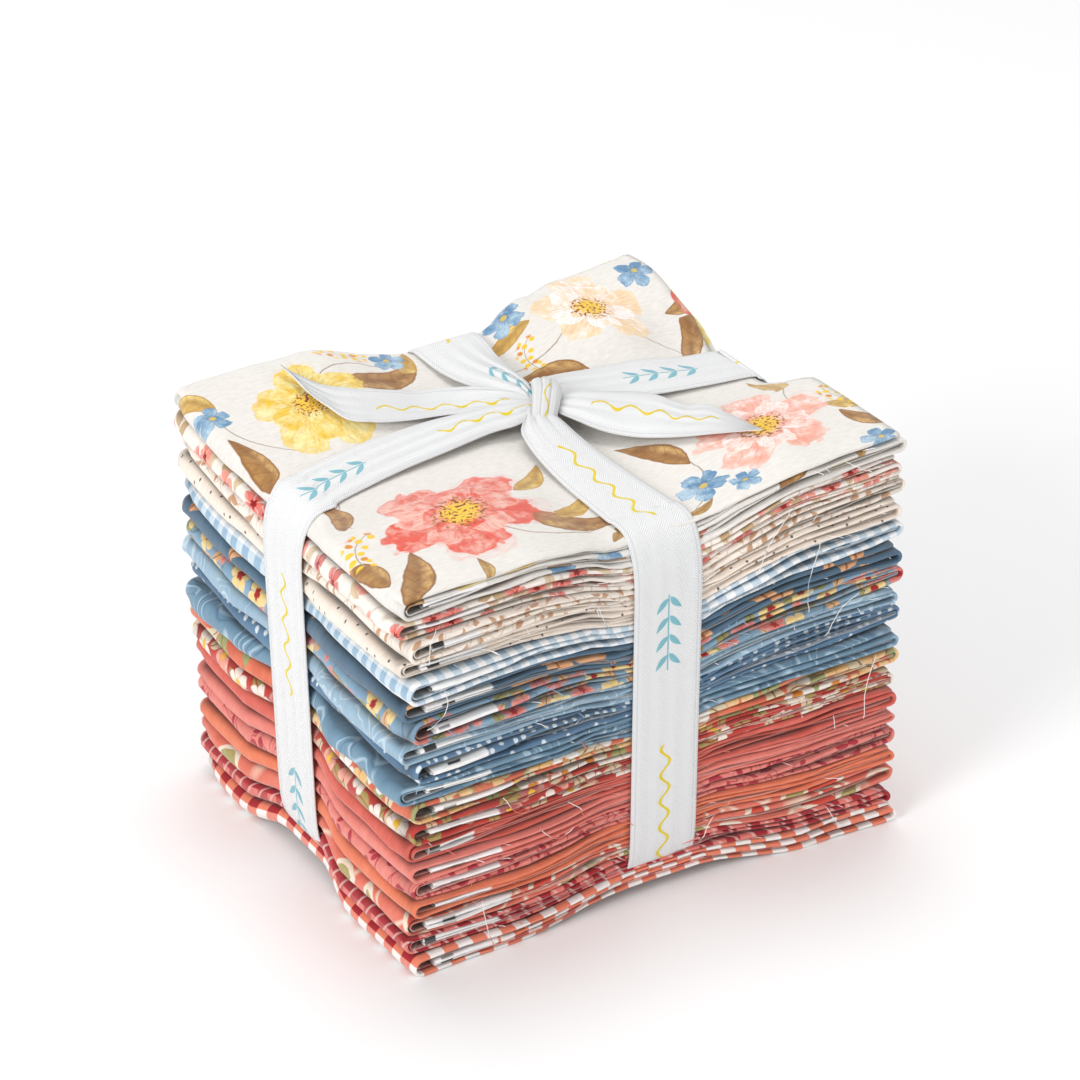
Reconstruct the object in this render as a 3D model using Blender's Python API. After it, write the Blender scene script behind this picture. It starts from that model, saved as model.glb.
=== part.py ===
"""Fat quarter bundle: nineteen folded pieces of quilting cotton, tied both ways with one length of tape.

Each fat quarter is folded in thirds across its width, which gives three sheets lying together, and then in
thirds along its length, as a letter is folded. Each of the three panels stands for three cotton sheets.
Metres, +Z up. The origin is on the table, under the middle of the bundle. X runs along the long side of the
folded pieces, with their large folds at -X, and Y runs along the short side, where the cut edges show.
"""

import math

import bpy
import bmesh
from mathutils import Vector

# The flat fat quarter, 22 by 18 inches, and the footprint that folding it in thirds both ways gives.
CLOTH_LONG = 0.559
CLOTH_SHORT = 0.457
PANELS = 3
HALF_LONG = CLOTH_LONG / PANELS / 2
HALF_SHORT = CLOTH_SHORT / PANELS / 2

# The folded sheet: its thickness, and the air left between one fat quarter and the next.
SHEET = 0.0018
PIECE_GAP = 0.0004
MIDDLE_EDGE_IN = 0.0012
TOP_EDGE_IN = 0.0030
SMALL_FOLD_STEPS = 4
LARGE_FOLD_STEPS = 6

# The height of the tied bundle over each corner, seen from above: front is -Y and left is -X.
HEIGHT_FRONT_LEFT = 0.1405
HEIGHT_BACK_LEFT = 0.1430
HEIGHT_FRONT_RIGHT = 0.1480
HEIGHT_BACK_RIGHT = 0.1475

# The tape draws the bundle in along two crossing bands, whose middles lie on these lines.
LENGTHWISE_Y = 0.005
CROSSWISE_X = 0.005
VALLEY_FLOOR = 0.0142
LENGTHWISE_REACH = 0.034
CROSSWISE_REACH = 0.050
TOP_DIP_NEAR = 0.0034
TOP_DIP_FAR = 0.0096
TOP_DIP_FRONT = 0.0048
BOTTOM_LIFT = 0.0044
DRAW_IN = 0.0036

# How the bundle widens, as shares at the table and at the top: each end along X, then each end's width.
SPREAD_LEFT = (0.975, 1.010)
SPREAD_RIGHT = (1.022, 1.014)
WIDTH_LEFT = (0.950, 1.004)
WIDTH_RIGHT = (1.026, 1.004)
BACK_CORNER_IN = 0.0050
BACK_CORNER_OUT = 0.0030

# The tape: 25 mm cotton twill, standing a little thick, and its knot and two cut ends.
TAPE_HALF_WIDTH = 0.0127
TAPE = 0.0010
TAPE_CLEAR = 0.0009
FOLD_CORNER = 0.0026
CUT_CORNER = 0.0015
CORNER_STEPS = 4
CROSSING_DROP = 0.0005
KNOT_RISE = 0.0086
KNOT_REACH = 0.034
KNOT_NARROWING = 0.58
KNOT_SIZE = (0.0100, 0.0082, 0.0048)
KNOT_CREASES = 5
KNOT_CREASE_DEPTH = 0.07
KNOT_TURN = 35.0
PLEAT_DEPTH = 0.0011
PLEAT_SHAPE = (0.0, 1.0, -0.5, 0.9, 0.0)
ACROSS = (-1.0, -0.5, 0.0, 0.5, 1.0)
TAIL_CLEAR = 0.0012
TAIL_ROWS = 8
TAIL_LEAVES = 0.3
TAPE_COLOUR = (0.86, 0.87, 0.88)

# From the table up. The columns are: name, linear colour, height as a share of the mean, shift along X and
# along Y in mm, turn in degrees, and how uneven the cut edges are in mm.
FAT_QUARTERS = (
    ("red_gingham", (0.62, 0.12, 0.09), 1.00, 0.4, -0.6, 0.3, 0.6),
    ("dark_red_plaid", (0.38, 0.05, 0.06), 0.94, -0.8, 0.5, -0.4, 0.5),
    ("coral_paisley", (0.72, 0.17, 0.13), 1.04, 0.3, 0.8, 0.2, 0.7),
    ("orange_coral", (0.80, 0.20, 0.12), 0.92, -0.5, -0.7, 0.5, 0.4),
    ("pink_sprig", (0.72, 0.24, 0.24), 0.97, 0.8, 0.3, -0.3, 0.6),
    ("pink_coral", (0.80, 0.24, 0.20), 0.90, -0.3, -0.4, 0.4, 0.5),
    ("coral_red", (0.66, 0.12, 0.10), 1.02, 0.6, 0.6, -0.5, 0.7),
    ("red_floral", (0.58, 0.10, 0.09), 1.00, -0.9, -0.2, 0.2, 0.6),
    ("coral_bouquet", (0.70, 0.30, 0.22), 1.06, 0.5, 0.4, 0.5, 0.8),
    ("blue_scroll", (0.14, 0.27, 0.45), 1.04, -0.6, -0.8, -0.3, 0.6),
    ("blue_dot", (0.20, 0.36, 0.55), 0.98, 0.9, 0.2, 0.4, 0.7),
    ("pale_blue", (0.40, 0.55, 0.70), 0.96, -0.4, 0.7, -0.5, 0.5),
    ("blue_garden", (0.33, 0.46, 0.58), 1.08, 0.7, -0.5, 0.3, 0.8),
    ("slate_blue", (0.10, 0.19, 0.33), 1.04, -0.7, 0.4, -0.2, 0.6),
    ("blue_gingham", (0.52, 0.65, 0.78), 1.10, 0.4, -0.3, 0.5, 0.7),
    ("cream_speck", (0.78, 0.70, 0.60), 0.98, -0.5, 0.6, -0.4, 0.6),
    ("cream_tan", (0.80, 0.73, 0.63), 0.96, 0.8, -0.6, 0.3, 0.7),
    ("cream_berry", (0.82, 0.75, 0.67), 1.00, -0.6, 0.3, -0.3, 0.6),
    ("cream_floral", (0.84, 0.79, 0.72), 1.02, 0.2, 0.5, 0.2, 0.5),
)

# The two cut ends of the tape, as they lie on top. The columns are: how far along the end in shares of its
# length, X and Y of its middle in mm from the knot, and half of its width as a share of the tape's.
LEFT_END = (
    (0.00, -2.0, 2.0, 0.55),
    (0.18, -14.0, 12.0, 0.80),
    (0.40, -27.0, 24.0, 0.96),
    (0.72, -44.0, 38.0, 1.00),
    (1.00, -58.0, 52.0, 0.12),
)
RIGHT_END = (
    (0.00, 2.0, -2.0, 0.55),
    (0.20, 13.0, -11.0, 0.85),
    (0.45, 25.0, -25.0, 1.00),
    (0.72, 37.0, -38.0, 0.98),
    (1.00, 49.0, -53.0, 0.12),
)

MILLIMETRE = 0.001


def clear_scene():
    for thing in list(bpy.data.objects):
        bpy.data.objects.remove(thing, do_unlink=True)


def blend(pair, share):
    return pair[0] * (1 - share) + pair[1] * share


def valley(distance, reach):
    """1 under the tape, falling evenly to 0 where the cloth stands free of it."""
    share = (reach - abs(distance)) / (reach - VALLEY_FLOOR)
    return min(1.0, max(0.0, share))


def lengthwise_valley(y):
    return valley(y - LENGTHWISE_Y, LENGTHWISE_REACH)


def crosswise_valley(x):
    return valley(x - CROSSWISE_X, CROSSWISE_REACH)


def both_valleys(x, y):
    return max(crosswise_valley(x), lengthwise_valley(y))


def free_crown(x, y):
    """The height that the bundle's top would have over a place on the table, were it not tied."""
    along = 0.5 + 0.5 * x / HALF_LONG
    across = 0.5 + 0.5 * y / HALF_SHORT
    left = blend((HEIGHT_FRONT_LEFT, HEIGHT_BACK_LEFT), across)
    right = blend((HEIGHT_FRONT_RIGHT, HEIGHT_BACK_RIGHT), across)
    return blend((left, right), along)


def crown(x, y):
    """The top as the tape presses it in, more deeply toward the back, the right and the front edge."""
    far = 0.5 + 0.25 * (x / HALF_LONG + y / HALF_SHORT)
    dip = blend((TOP_DIP_NEAR, TOP_DIP_FAR), far) * both_valleys(x, y)
    front = max(0.0, (LENGTHWISE_Y - VALLEY_FLOOR - y) / (HALF_SHORT + LENGTHWISE_Y - VALLEY_FLOOR))
    return free_crown(x, y) - dip - TOP_DIP_FRONT * front * crosswise_valley(x)


def underside(x, y):
    """The bundle lies flat on the table except where the tape lifts it."""
    return BOTTOM_LIFT * both_valleys(x, y)


def level(x, y, share):
    return underside(x, y) + share * (crown(x, y) - underside(x, y))


def folded_section(rise):
    """The letter fold seen from the cut edge, as (x, z, outward x, outward z) along the sheet's middle."""
    step = (rise - SHEET) / (PANELS - 1)
    low, middle, high = SHEET / 2, SHEET / 2 + step, SHEET / 2 + 2 * step
    large_middle = -HALF_LONG + rise / 2
    small_middle = HALF_LONG - (step + SHEET) / 2
    stations = (
        CROSSWISE_X - CROSSWISE_REACH,
        CROSSWISE_X - VALLEY_FLOOR,
        CROSSWISE_X + VALLEY_FLOOR,
        CROSSWISE_X + CROSSWISE_REACH,
    )
    section = [(large_middle + MIDDLE_EDGE_IN, middle, 0, 1)]
    section += [(x, middle, 0, 1) for x in stations]
    for k in range(SMALL_FOLD_STEPS + 1):
        turn = math.pi / 2 - math.pi * k / SMALL_FOLD_STEPS
        out = (math.cos(turn), math.sin(turn))
        section.append((small_middle + step / 2 * out[0], (low + middle) / 2 + step / 2 * out[1], *out))
    section += [(x, low, 0, -1) for x in reversed(stations)]
    for k in range(LARGE_FOLD_STEPS + 1):
        turn = -math.pi / 2 - math.pi * k / LARGE_FOLD_STEPS
        out = (math.cos(turn), math.sin(turn))
        section.append((large_middle + step * out[0], middle + step * out[1], *out))
    section += [(x, high, 0, 1) for x in stations]
    section.append((HALF_LONG - TOP_EDGE_IN, high, 0, 1))
    return section


def cut_edge_stations():
    inner = (
        LENGTHWISE_Y - LENGTHWISE_REACH,
        LENGTHWISE_Y - VALLEY_FLOOR,
        LENGTHWISE_Y + VALLEY_FLOOR,
        LENGTHWISE_Y + LENGTHWISE_REACH,
    )
    return (-HALF_SHORT, *inner, HALF_SHORT)


def place_cloth(x, y, share, row, quarter):
    """Carries a point of a flat folded piece to where it lies in the tied bundle."""
    _, _, _, shift_x, shift_y, turn, uneven = quarter
    free_x = 1 - lengthwise_valley(y)
    free_y = 1 - crosswise_valley(x)
    turn = math.radians(turn)
    px = x * math.cos(turn) + (shift_x * MILLIMETRE - y * math.sin(turn)) * free_x
    py = y * math.cos(turn) + (shift_y * MILLIMETRE + x * math.sin(turn)) * free_y
    if abs(y) == HALF_SHORT:
        py += uneven * MILLIMETRE * math.sin(1.7 * row + 9 * turn) * free_y
    draw_x = DRAW_IN / HALF_LONG * lengthwise_valley(y)
    draw_y = DRAW_IN / HALF_SHORT * crosswise_valley(x)
    along = 0.5 + 0.5 * x / HALF_LONG
    px *= blend(SPREAD_RIGHT if x > 0 else SPREAD_LEFT, share) * (1 - draw_x)
    py *= blend((blend(WIDTH_LEFT, share), blend(WIDTH_RIGHT, share)), along) * (1 - draw_y)
    back_corner = share * max(0.0, x / HALF_LONG) * max(0.0, y / HALF_SHORT)
    px -= BACK_CORNER_IN * back_corner * free_x
    py += BACK_CORNER_OUT * back_corner * free_y
    return Vector((px, py, level(px, py, share)))


def split_faces(shape, corners):
    """Two triangles that share the corner nearest the crossing, so that neighbours crease alike."""
    away = [(c.co.x - CROSSWISE_X) ** 2 + (c.co.y - LENGTHWISE_Y) ** 2 for c in corners]
    first = away.index(min(away))
    a, b, c, d = corners[first:] + corners[:first]
    shape.faces.new((a, b, c))
    shape.faces.new((a, c, d))


def solid_between(name, outer, inner, closed):
    """One closed solid between two grids of points, whose rows run in a ring if they are closed."""
    rows, columns = len(outer), len(outer[0])
    shape = bmesh.new()
    skins = [[[shape.verts.new(p) for p in row] for row in grid] for grid in (outer, inner)]
    spans = [(i, (i + 1) % rows) for i in range(rows if closed else rows - 1)]
    for i, j in spans:
        for k in range(columns - 1):
            for skin in skins:
                split_faces(shape, [skin[i][k], skin[j][k], skin[j][k + 1], skin[i][k + 1]])
        for k in (0, columns - 1):
            shape.faces.new((skins[0][i][k], skins[1][i][k], skins[1][j][k], skins[0][j][k]))
    if not closed:
        for i in (0, rows - 1):
            for k in range(columns - 1):
                shape.faces.new((skins[0][i][k], skins[0][i][k + 1], skins[1][i][k + 1], skins[1][i][k]))
    bmesh.ops.recalc_face_normals(shape, faces=shape.faces)
    mesh = bpy.data.meshes.new(name)
    shape.to_mesh(mesh)
    shape.free()
    thing = bpy.data.objects.new(name, mesh)
    bpy.context.scene.collection.objects.link(thing)
    return thing


def paint(thing, name, colour, roughness):
    material = bpy.data.materials.new(name)
    material.use_nodes = True
    shader = material.node_tree.nodes["Principled BSDF"]
    shader.inputs["Base Color"].default_value = (*colour, 1.0)
    shader.inputs["Roughness"].default_value = roughness
    shader.inputs["Metallic"].default_value = 0.0
    thing.data.materials.append(material)


def make_fat_quarters():
    """The whole stack, each piece in its own node."""
    mean_height = sum((HEIGHT_FRONT_LEFT, HEIGHT_BACK_LEFT, HEIGHT_FRONT_RIGHT, HEIGHT_BACK_RIGHT)) / 4
    count = len(FAT_QUARTERS)
    cloth_height = mean_height - PIECE_GAP * (count - 1)
    whole = sum(quarter[2] for quarter in FAT_QUARTERS)
    floor = 0.0
    things = []
    for number, quarter in enumerate(FAT_QUARTERS, start=1):
        rise = cloth_height * quarter[2] / whole
        grids = []
        for side in (1, -1):
            grid = []
            for row, (x, z, out_x, out_z) in enumerate(folded_section(rise)):
                sx = x + side * out_x * SHEET / 2
                share = (floor + z + side * out_z * SHEET / 2) / mean_height
                grid.append([place_cloth(sx, y, share, row, quarter) for y in cut_edge_stations()])
            grids.append(grid)
        name = f"fat_quarter_{number:02d}_{quarter[0]}"
        thing = solid_between(name, grids[0], grids[1], closed=False)
        paint(thing, f"cotton_{quarter[0]}", quarter[1], 0.9)
        things.append(thing)
        floor += rise + PIECE_GAP
    return things


def knot_nearness(u):
    return max(0.0, 1 - abs(u) / KNOT_REACH)


def band_path(half, spreads, height, drop, bend):
    """The tape's middle line round the bundle, as (along, height) pairs in a ring."""
    plus, minus = ([half * share - DRAW_IN + TAPE_CLEAR + TAPE / 2 for share in pair] for pair in spreads)
    under = BOTTOM_LIFT - TAPE_CLEAR - TAPE / 2 - drop
    path = []

    def corner(side, reach, top, first):
        middle_u = side * (reach - bend)
        middle_z = height(side * reach) - bend if top else under + bend
        for k in range(CORNER_STEPS + 1):
            turn = math.radians(first + 90 * k / CORNER_STEPS)
            path.append((middle_u + bend * math.cos(turn), middle_z + bend * math.sin(turn)))

    corner(1, plus[0], False, -90)
    corner(1, plus[1], True, 0)
    for share in (0.62, 0.36, 0.22, 0.11, 0.0, -0.11, -0.22, -0.36, -0.62):
        u = share * (plus[1] if share > 0 else minus[1])
        path.append((u, height(u) + KNOT_RISE * knot_nearness(u) ** 1.5))
    corner(-1, minus[1], True, 90)
    corner(-1, minus[0], False, 180)
    return path


def make_band(name, half, spreads, middle, height, drop, bend, to_point):
    """One closed turn of the tape round the bundle, gathered into pleats where it meets the knot."""
    path = band_path(half, spreads, height, drop, bend)
    count = len(path)
    outer, inner = [], []
    for i, (u, z) in enumerate(path):
        before, after = path[i - 1], path[(i + 1) % count]
        run = math.hypot(after[0] - before[0], after[1] - before[1])
        out = ((after[1] - before[1]) / run, -(after[0] - before[0]) / run)
        near = knot_nearness(u) if z > HEIGHT_FRONT_LEFT / 2 else 0.0
        width = TAPE_HALF_WIDTH * (1 - KNOT_NARROWING * near)
        for grid, side in ((outer, 1), (inner, -1)):
            row = []
            for across, pleat in zip(ACROSS, PLEAT_SHAPE):
                reach = side * TAPE / 2 + PLEAT_DEPTH * near * pleat
                row.append(to_point(u + out[0] * reach, middle + across * width, z + out[1] * reach))
            grid.append(row)
    return solid_between(name, outer, inner, closed=True)


def make_end(name, table, knot_height):
    """A cut end of the tape, lying over the top fat quarter."""
    outer, inner = [], []
    for row in range(TAIL_ROWS + 1):
        share = row / TAIL_ROWS
        low = max(k for k in range(len(table) - 1) if table[k][0] <= share)
        part = (share - table[low][0]) / (table[low + 1][0] - table[low][0])
        x, y, width = (blend((table[low][c], table[low + 1][c]), part) for c in (1, 2, 3))
        x = CROSSWISE_X + x * MILLIMETRE
        y = LENGTHWISE_Y + y * MILLIMETRE
        along = Vector((table[-1][1] - table[0][1], table[-1][2] - table[0][2])).normalized()
        leaving = min(1.0, share / TAIL_LEAVES)
        for grid, side in ((outer, 1), (inner, -1)):
            points = []
            for across in ACROSS:
                px = x - along.y * across * width * TAPE_HALF_WIDTH
                py = y + along.x * across * width * TAPE_HALF_WIDTH
                rest = crown(px, py) + TAIL_CLEAR + TAPE / 2
                points.append(Vector((px, py, blend((knot_height, rest), leaving) + side * TAPE / 2)))
            grid.append(points)
    return solid_between(name, outer, inner, closed=False)


def make_knot(name, height):
    """The knot: a creased lump where the bands and the two ends come together."""
    shape = bmesh.new()
    bmesh.ops.create_uvsphere(shape, u_segments=20, v_segments=10, radius=1.0)
    for vert in shape.verts:
        angle = math.atan2(vert.co.y, vert.co.x)
        crease = 1 - KNOT_CREASE_DEPTH * (1 + math.cos(KNOT_CREASES * angle + 0.4))
        vert.co = Vector(part * size * crease for part, size in zip(vert.co, KNOT_SIZE))
    mesh = bpy.data.meshes.new(name)
    shape.to_mesh(mesh)
    shape.free()
    knot = bpy.data.objects.new(name, mesh)
    knot.location = (CROSSWISE_X, LENGTHWISE_Y, height)
    knot.rotation_euler.z = math.radians(KNOT_TURN)
    bpy.context.scene.collection.objects.link(knot)
    return knot


def make_ribbon():
    """The tape is one length, so its two bands, its knot and its two ends are joined into one solid."""

    def lengthwise_height(x):
        return crown(x, LENGTHWISE_Y) + TAPE_CLEAR + TAPE / 2

    def crosswise_height(y):
        return crown(CROSSWISE_X, y) + TAPE_CLEAR + TAPE / 2

    ribbon = make_band("ribbon", HALF_LONG, (SPREAD_RIGHT, SPREAD_LEFT), LENGTHWISE_Y,
                       lengthwise_height, 0.0, FOLD_CORNER, lambda u, v, z: Vector((u, v, z)))
    knot_height = lengthwise_height(CROSSWISE_X) + KNOT_RISE
    middle_width = [blend((left, right), 0.5 + 0.5 * CROSSWISE_X / HALF_LONG)
                    for left, right in zip(WIDTH_LEFT, WIDTH_RIGHT)]
    joined = (
        make_band("ribbon_crosswise", HALF_SHORT, (middle_width, middle_width), CROSSWISE_X,
                  crosswise_height, CROSSING_DROP, CUT_CORNER, lambda u, v, z: Vector((v, u, z))),
        make_knot("ribbon_knot", knot_height),
        make_end("ribbon_left_end", LEFT_END, knot_height),
        make_end("ribbon_right_end", RIGHT_END, knot_height),
    )
    for guide in joined:
        guide.hide_render = True
        guide.display_type = "WIRE"
        join = ribbon.modifiers.new(guide.name, "BOOLEAN")
        join.operation = "UNION"
        join.solver = "EXACT"
        join.object = guide
    paint(ribbon, "twill_tape", TAPE_COLOUR, 0.85)
    return (ribbon, *joined)


def centre_over_origin(cloths, tapes):
    """Hangs every piece on one empty, which brings the middle of the stack over the origin."""
    middle = bpy.data.objects.new("bundle_middle", None)
    bpy.context.scene.collection.objects.link(middle)
    for axis in (0, 1):
        reach = [vert.co[axis] for cloth in cloths for vert in cloth.data.vertices]
        middle.location[axis] = -(min(reach) + max(reach)) / 2
    for thing in (*cloths, *tapes):
        thing.parent = middle


clear_scene()
centre_over_origin(make_fat_quarters(), make_ribbon())
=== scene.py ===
"""The looks of the fat quarter bundle: nineteen folded cottons and the twill tape that ties them.

Metres, +Z up, in the frame of the solids: the large folds are at -X, the cut edges show at -Y.
"""

import math

import bpy
import numpy as np
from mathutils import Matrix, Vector


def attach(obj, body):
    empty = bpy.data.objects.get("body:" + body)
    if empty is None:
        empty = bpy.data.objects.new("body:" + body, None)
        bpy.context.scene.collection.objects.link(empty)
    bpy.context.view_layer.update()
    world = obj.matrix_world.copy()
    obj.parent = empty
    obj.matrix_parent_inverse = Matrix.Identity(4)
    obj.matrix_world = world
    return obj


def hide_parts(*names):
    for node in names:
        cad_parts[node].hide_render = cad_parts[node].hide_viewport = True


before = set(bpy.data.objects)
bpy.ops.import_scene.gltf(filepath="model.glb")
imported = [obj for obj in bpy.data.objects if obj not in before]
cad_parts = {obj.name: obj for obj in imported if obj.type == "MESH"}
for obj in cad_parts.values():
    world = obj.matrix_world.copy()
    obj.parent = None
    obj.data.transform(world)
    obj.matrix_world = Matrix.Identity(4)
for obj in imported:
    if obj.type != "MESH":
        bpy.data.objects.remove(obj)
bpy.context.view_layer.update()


# The coral and red fat quarters, the lower half of the stack.
# Each is one cut piece of printed quilting cotton, 18 by 22 inches, folded in thirds across its width and then
# in thirds along its length like a letter, so nine sheets lie together with the large fold at -X.
CLOTH_LONG = 0.559
CLOTH_SHORT = 0.457
HALF_LONG = CLOTH_LONG / 6
HALF_SHORT = CLOTH_SHORT / 6
COTTON = 0.00034
PIECE_GAP = 0.0004
STACK_HEIGHT = 0.14475
SHARES_IN_STACK = 19.01
LEFT_CORNERS = (0.1405, 0.1430)
RIGHT_CORNERS = (0.1480, 0.1475)
MIDDLE = (-0.0007, -0.00075)

# Where the tape draws the stack in, and how far, as in the solids.
LENGTHWISE_Y = 0.005
CROSSWISE_X = 0.005
VALLEY_FLOOR = 0.0142
LENGTHWISE_REACH = 0.034
CROSSWISE_REACH = 0.050
TOP_DIP_FRONT = 0.0048
EDGE_PRESS = 0.0046
EDGE_ROUND = 0.0120
TOP_DIP = (0.0034, 0.0096)
BOTTOM_LIFT = 0.0044
DRAW_IN = 0.0036
SPREAD_LEFT = (0.975, 1.010)
SPREAD_RIGHT = (1.022, 1.014)
WIDTH_LEFT = (0.950, 1.004)
WIDTH_RIGHT = (1.026, 1.004)
BACK_CORNER_IN = 0.0050
BACK_CORNER_OUT = 0.0030

# How unevenly the sheets lie: waves of their heights, and how far the cut edges and folds wander.
WAVES = (
    (0.00050, 9.6, 0.131, 0.097),
    (0.00020, 27.0, 0.083, 0.119),
)
EDGE_WANDER = 0.0013
SHEET_JITTER = 0.00017
LOOSE_END_IN = 0.0030
TUCKED_END_IN = (0.0030, 0.0060)
ROLL_END_IN = (0.0003, 0.0026)
SELVEDGE = 0.031
# Painted shade between the sheets: how far in from a cut edge or fold the cloth starts to be darkened, over what
# width the darkening grows, and how dark it gets. It stands in for the shade deep in the gaps of the stack.
PAINTED_SHADE_FROM = 0.0007
PAINTED_SHADE_OVER = 0.0034
GAP_SHADE = 0.76
THREAD_PAIR = 0.62
SELVEDGE_OUT = 0.0009
# Above this share of the stack's height the painted shade between the sheets fades out, so the top cloth is not
# darkened.
TOP_SHEET = 0.9915
# Where the columns of a sheet's mesh lie across it, in mm from its middle, closer together by the folds.
PLACES_ACROSS = (76.2, 75.2, 72.5, 67, 60, 52, 45, 38, 31, 24, 18, 11, 4, -3, -10, -17, -24, -31, -38, -45,
                 -52, -60, -67, -72.5, -75.2, -76.2)


def eased(t):
    """0 to 1 along a soft S."""
    t = np.clip(t, 0.0, 1.0)
    return t * t * (3 - 2 * t)


def rounded(t):
    """0 below 0, rising ever more steeply to 1 at 1."""
    return np.clip(t, 0.0, 1.0) ** 2


def between(pair, share):
    return pair[0] * (1 - share) + pair[1] * share


def valley(distance, reach):
    """1 under the tape, falling softly to 0 where the cloth stands free of it."""
    fall = np.clip((reach - np.abs(distance)) / (reach - VALLEY_FLOOR), 0, 1)
    return 0.5 * fall + 0.5 * eased(fall)


def lengthwise_valley(y):
    return valley(y - LENGTHWISE_Y, LENGTHWISE_REACH)


def crosswise_valley(x):
    return valley(x - CROSSWISE_X, CROSSWISE_REACH)


def both_valleys(x, y):
    return 1 - (1 - crosswise_valley(x)) * (1 - lengthwise_valley(y))


def free_crown(x, y):
    """The height of the stack's top, were it not tied."""
    along = 0.5 + 0.5 * x / HALF_LONG
    across = 0.5 + 0.5 * y / HALF_SHORT
    return between((between(LEFT_CORNERS, across), between(RIGHT_CORNERS, across)), along)


# The main creases of the top cloth. The columns are: x and y of one end and of the other in
# mm from the middle, how high the ridge stands or, below 0, how deep the trough is, and half its width.
CREASES = (
    (-112, 70, 54, 70, 4.8, 20.0), (26, 74, 42, 74, 2.2, 18.0), (78, 62, 100, 84, 4.0, 16.0),
    (66, 36, 110, 36, -5.2, 14.0),
    (-92, -24, -26, -15, -1.2, 4.5), (-90, 38, -34, 25, -1.1, 5.5), (30, -16, 86, -22, -1.0, 5.0),
    (28, 26, 88, 35, -1.1, 5.5), (-17, -74, -12, -30, -1.1, 4.5), (27, -72, 21, -30, -0.9, 5.0),
    (-20, 34, -24, 74, -1.0, 5.5), (28, 30, 34, 74, 0.9, 6.0), (-80, -66, -46, -56, 0.8, 6.5),
    (-86, 60, -50, 66, -0.9, 6.0), (52, -66, 88, -44, 0.8, 7.5), (50, 60, 86, 48, -0.9, 7.0),
    (-72, -34, -40, -62, -0.6, 5.0), (40, 44, 70, 70, 0.7, 5.5),
)


def creases(x, y):
    lift = 0.0
    for x1, y1, x2, y2, height, wide in CREASES:
        run = (x2 - x1) * 0.001, (y2 - y1) * 0.001
        length = math.hypot(*run)
        from_x, from_y = x - x1 * 0.001, y - y1 * 0.001
        along = (from_x * run[0] + from_y * run[1]) / length ** 2
        off = (from_x * run[1] - from_y * run[0]) / length / (wide * 0.001)
        ends = eased((along + 0.25) / 0.5) * eased((1.25 - along) / 0.5)
        lift = lift + height * 0.001 * ends * np.exp(-off * off)
    return lift


def crown(x, y):
    """The top as the tape presses it in, more deeply toward the back, the right and its edges."""
    far = 0.5 + 0.25 * (x / HALF_LONG + y / HALF_SHORT)
    dip = between(TOP_DIP, far) * both_valleys(x, y)
    front = np.clip((LENGTHWISE_Y - VALLEY_FLOOR - y) / (HALF_SHORT + LENGTHWISE_Y - VALLEY_FLOOR), 0, 1.1)
    dip = dip + TOP_DIP_FRONT * front * crosswise_valley(x)
    long_edge = rounded((np.abs(x) - HALF_LONG) / EDGE_ROUND + 1) * valley(y - LENGTHWISE_Y, 0.027)
    short_edge = rounded((np.abs(y) - HALF_SHORT) / EDGE_ROUND + 1) * valley(x - CROSSWISE_X, 0.027)
    return free_crown(x, y) + creases(x, y) - dip - EDGE_PRESS * (long_edge + short_edge)


def settle(x, y, share, quarter):
    """Carries points of a flat folded fat quarter to where they lie in the tied stack."""
    free_x = 1 - lengthwise_valley(y)
    free_y = 1 - crosswise_valley(x)
    turn = math.radians(quarter["turn"])
    px = x * math.cos(turn) + (quarter["shift"][0] * 0.001 - y * math.sin(turn)) * free_x
    py = y * math.cos(turn) + (quarter["shift"][1] * 0.001 + x * math.sin(turn)) * free_y
    rest = eased(share / 0.07) * eased((1 - share) / 0.07)
    lift = 0
    for number, (height, times, run_x, run_y) in enumerate(WAVES):
        across = 1.7 * np.sin(2 * math.pi * py / run_y + number)
        phase = 2 * math.pi * (share * times + px / run_x) + across
        lift = lift + height * np.sin(phase)
    top_edge = EDGE_PRESS * rounded(1 - (1 - share) * STACK_HEIGHT / EDGE_ROUND)
    draw_x = (DRAW_IN + top_edge * rounded(np.abs(x) / HALF_LONG)) / HALF_LONG * lengthwise_valley(y)
    draw_y = (DRAW_IN + top_edge * rounded(np.abs(y) / HALF_SHORT)) / HALF_SHORT * crosswise_valley(x)
    along = 0.5 + 0.5 * px / HALF_LONG
    wide = np.where(px > 0, between(SPREAD_RIGHT, share), between(SPREAD_LEFT, share)) * (1 - draw_x)
    deep = between((between(WIDTH_LEFT, share), between(WIDTH_RIGHT, share)), along) * (1 - draw_y)
    back_corner = share * np.maximum(0, px / HALF_LONG) * np.maximum(0, py / HALF_SHORT)
    px = px * wide - BACK_CORNER_IN * back_corner * free_x
    py = py * deep + BACK_CORNER_OUT * back_corner * free_y
    low = BOTTOM_LIFT * both_valleys(px, py)
    z = low + share * (crown(px, py) - low) + lift * rest
    return np.stack([px + MIDDLE[0], py + MIDDLE[1], z], axis=-1)


def room_for(height):
    """How high a fat quarter with that share of the stack stands."""
    return (STACK_HEIGHT - PIECE_GAP * 18) * height / SHARES_IN_STACK


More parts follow.
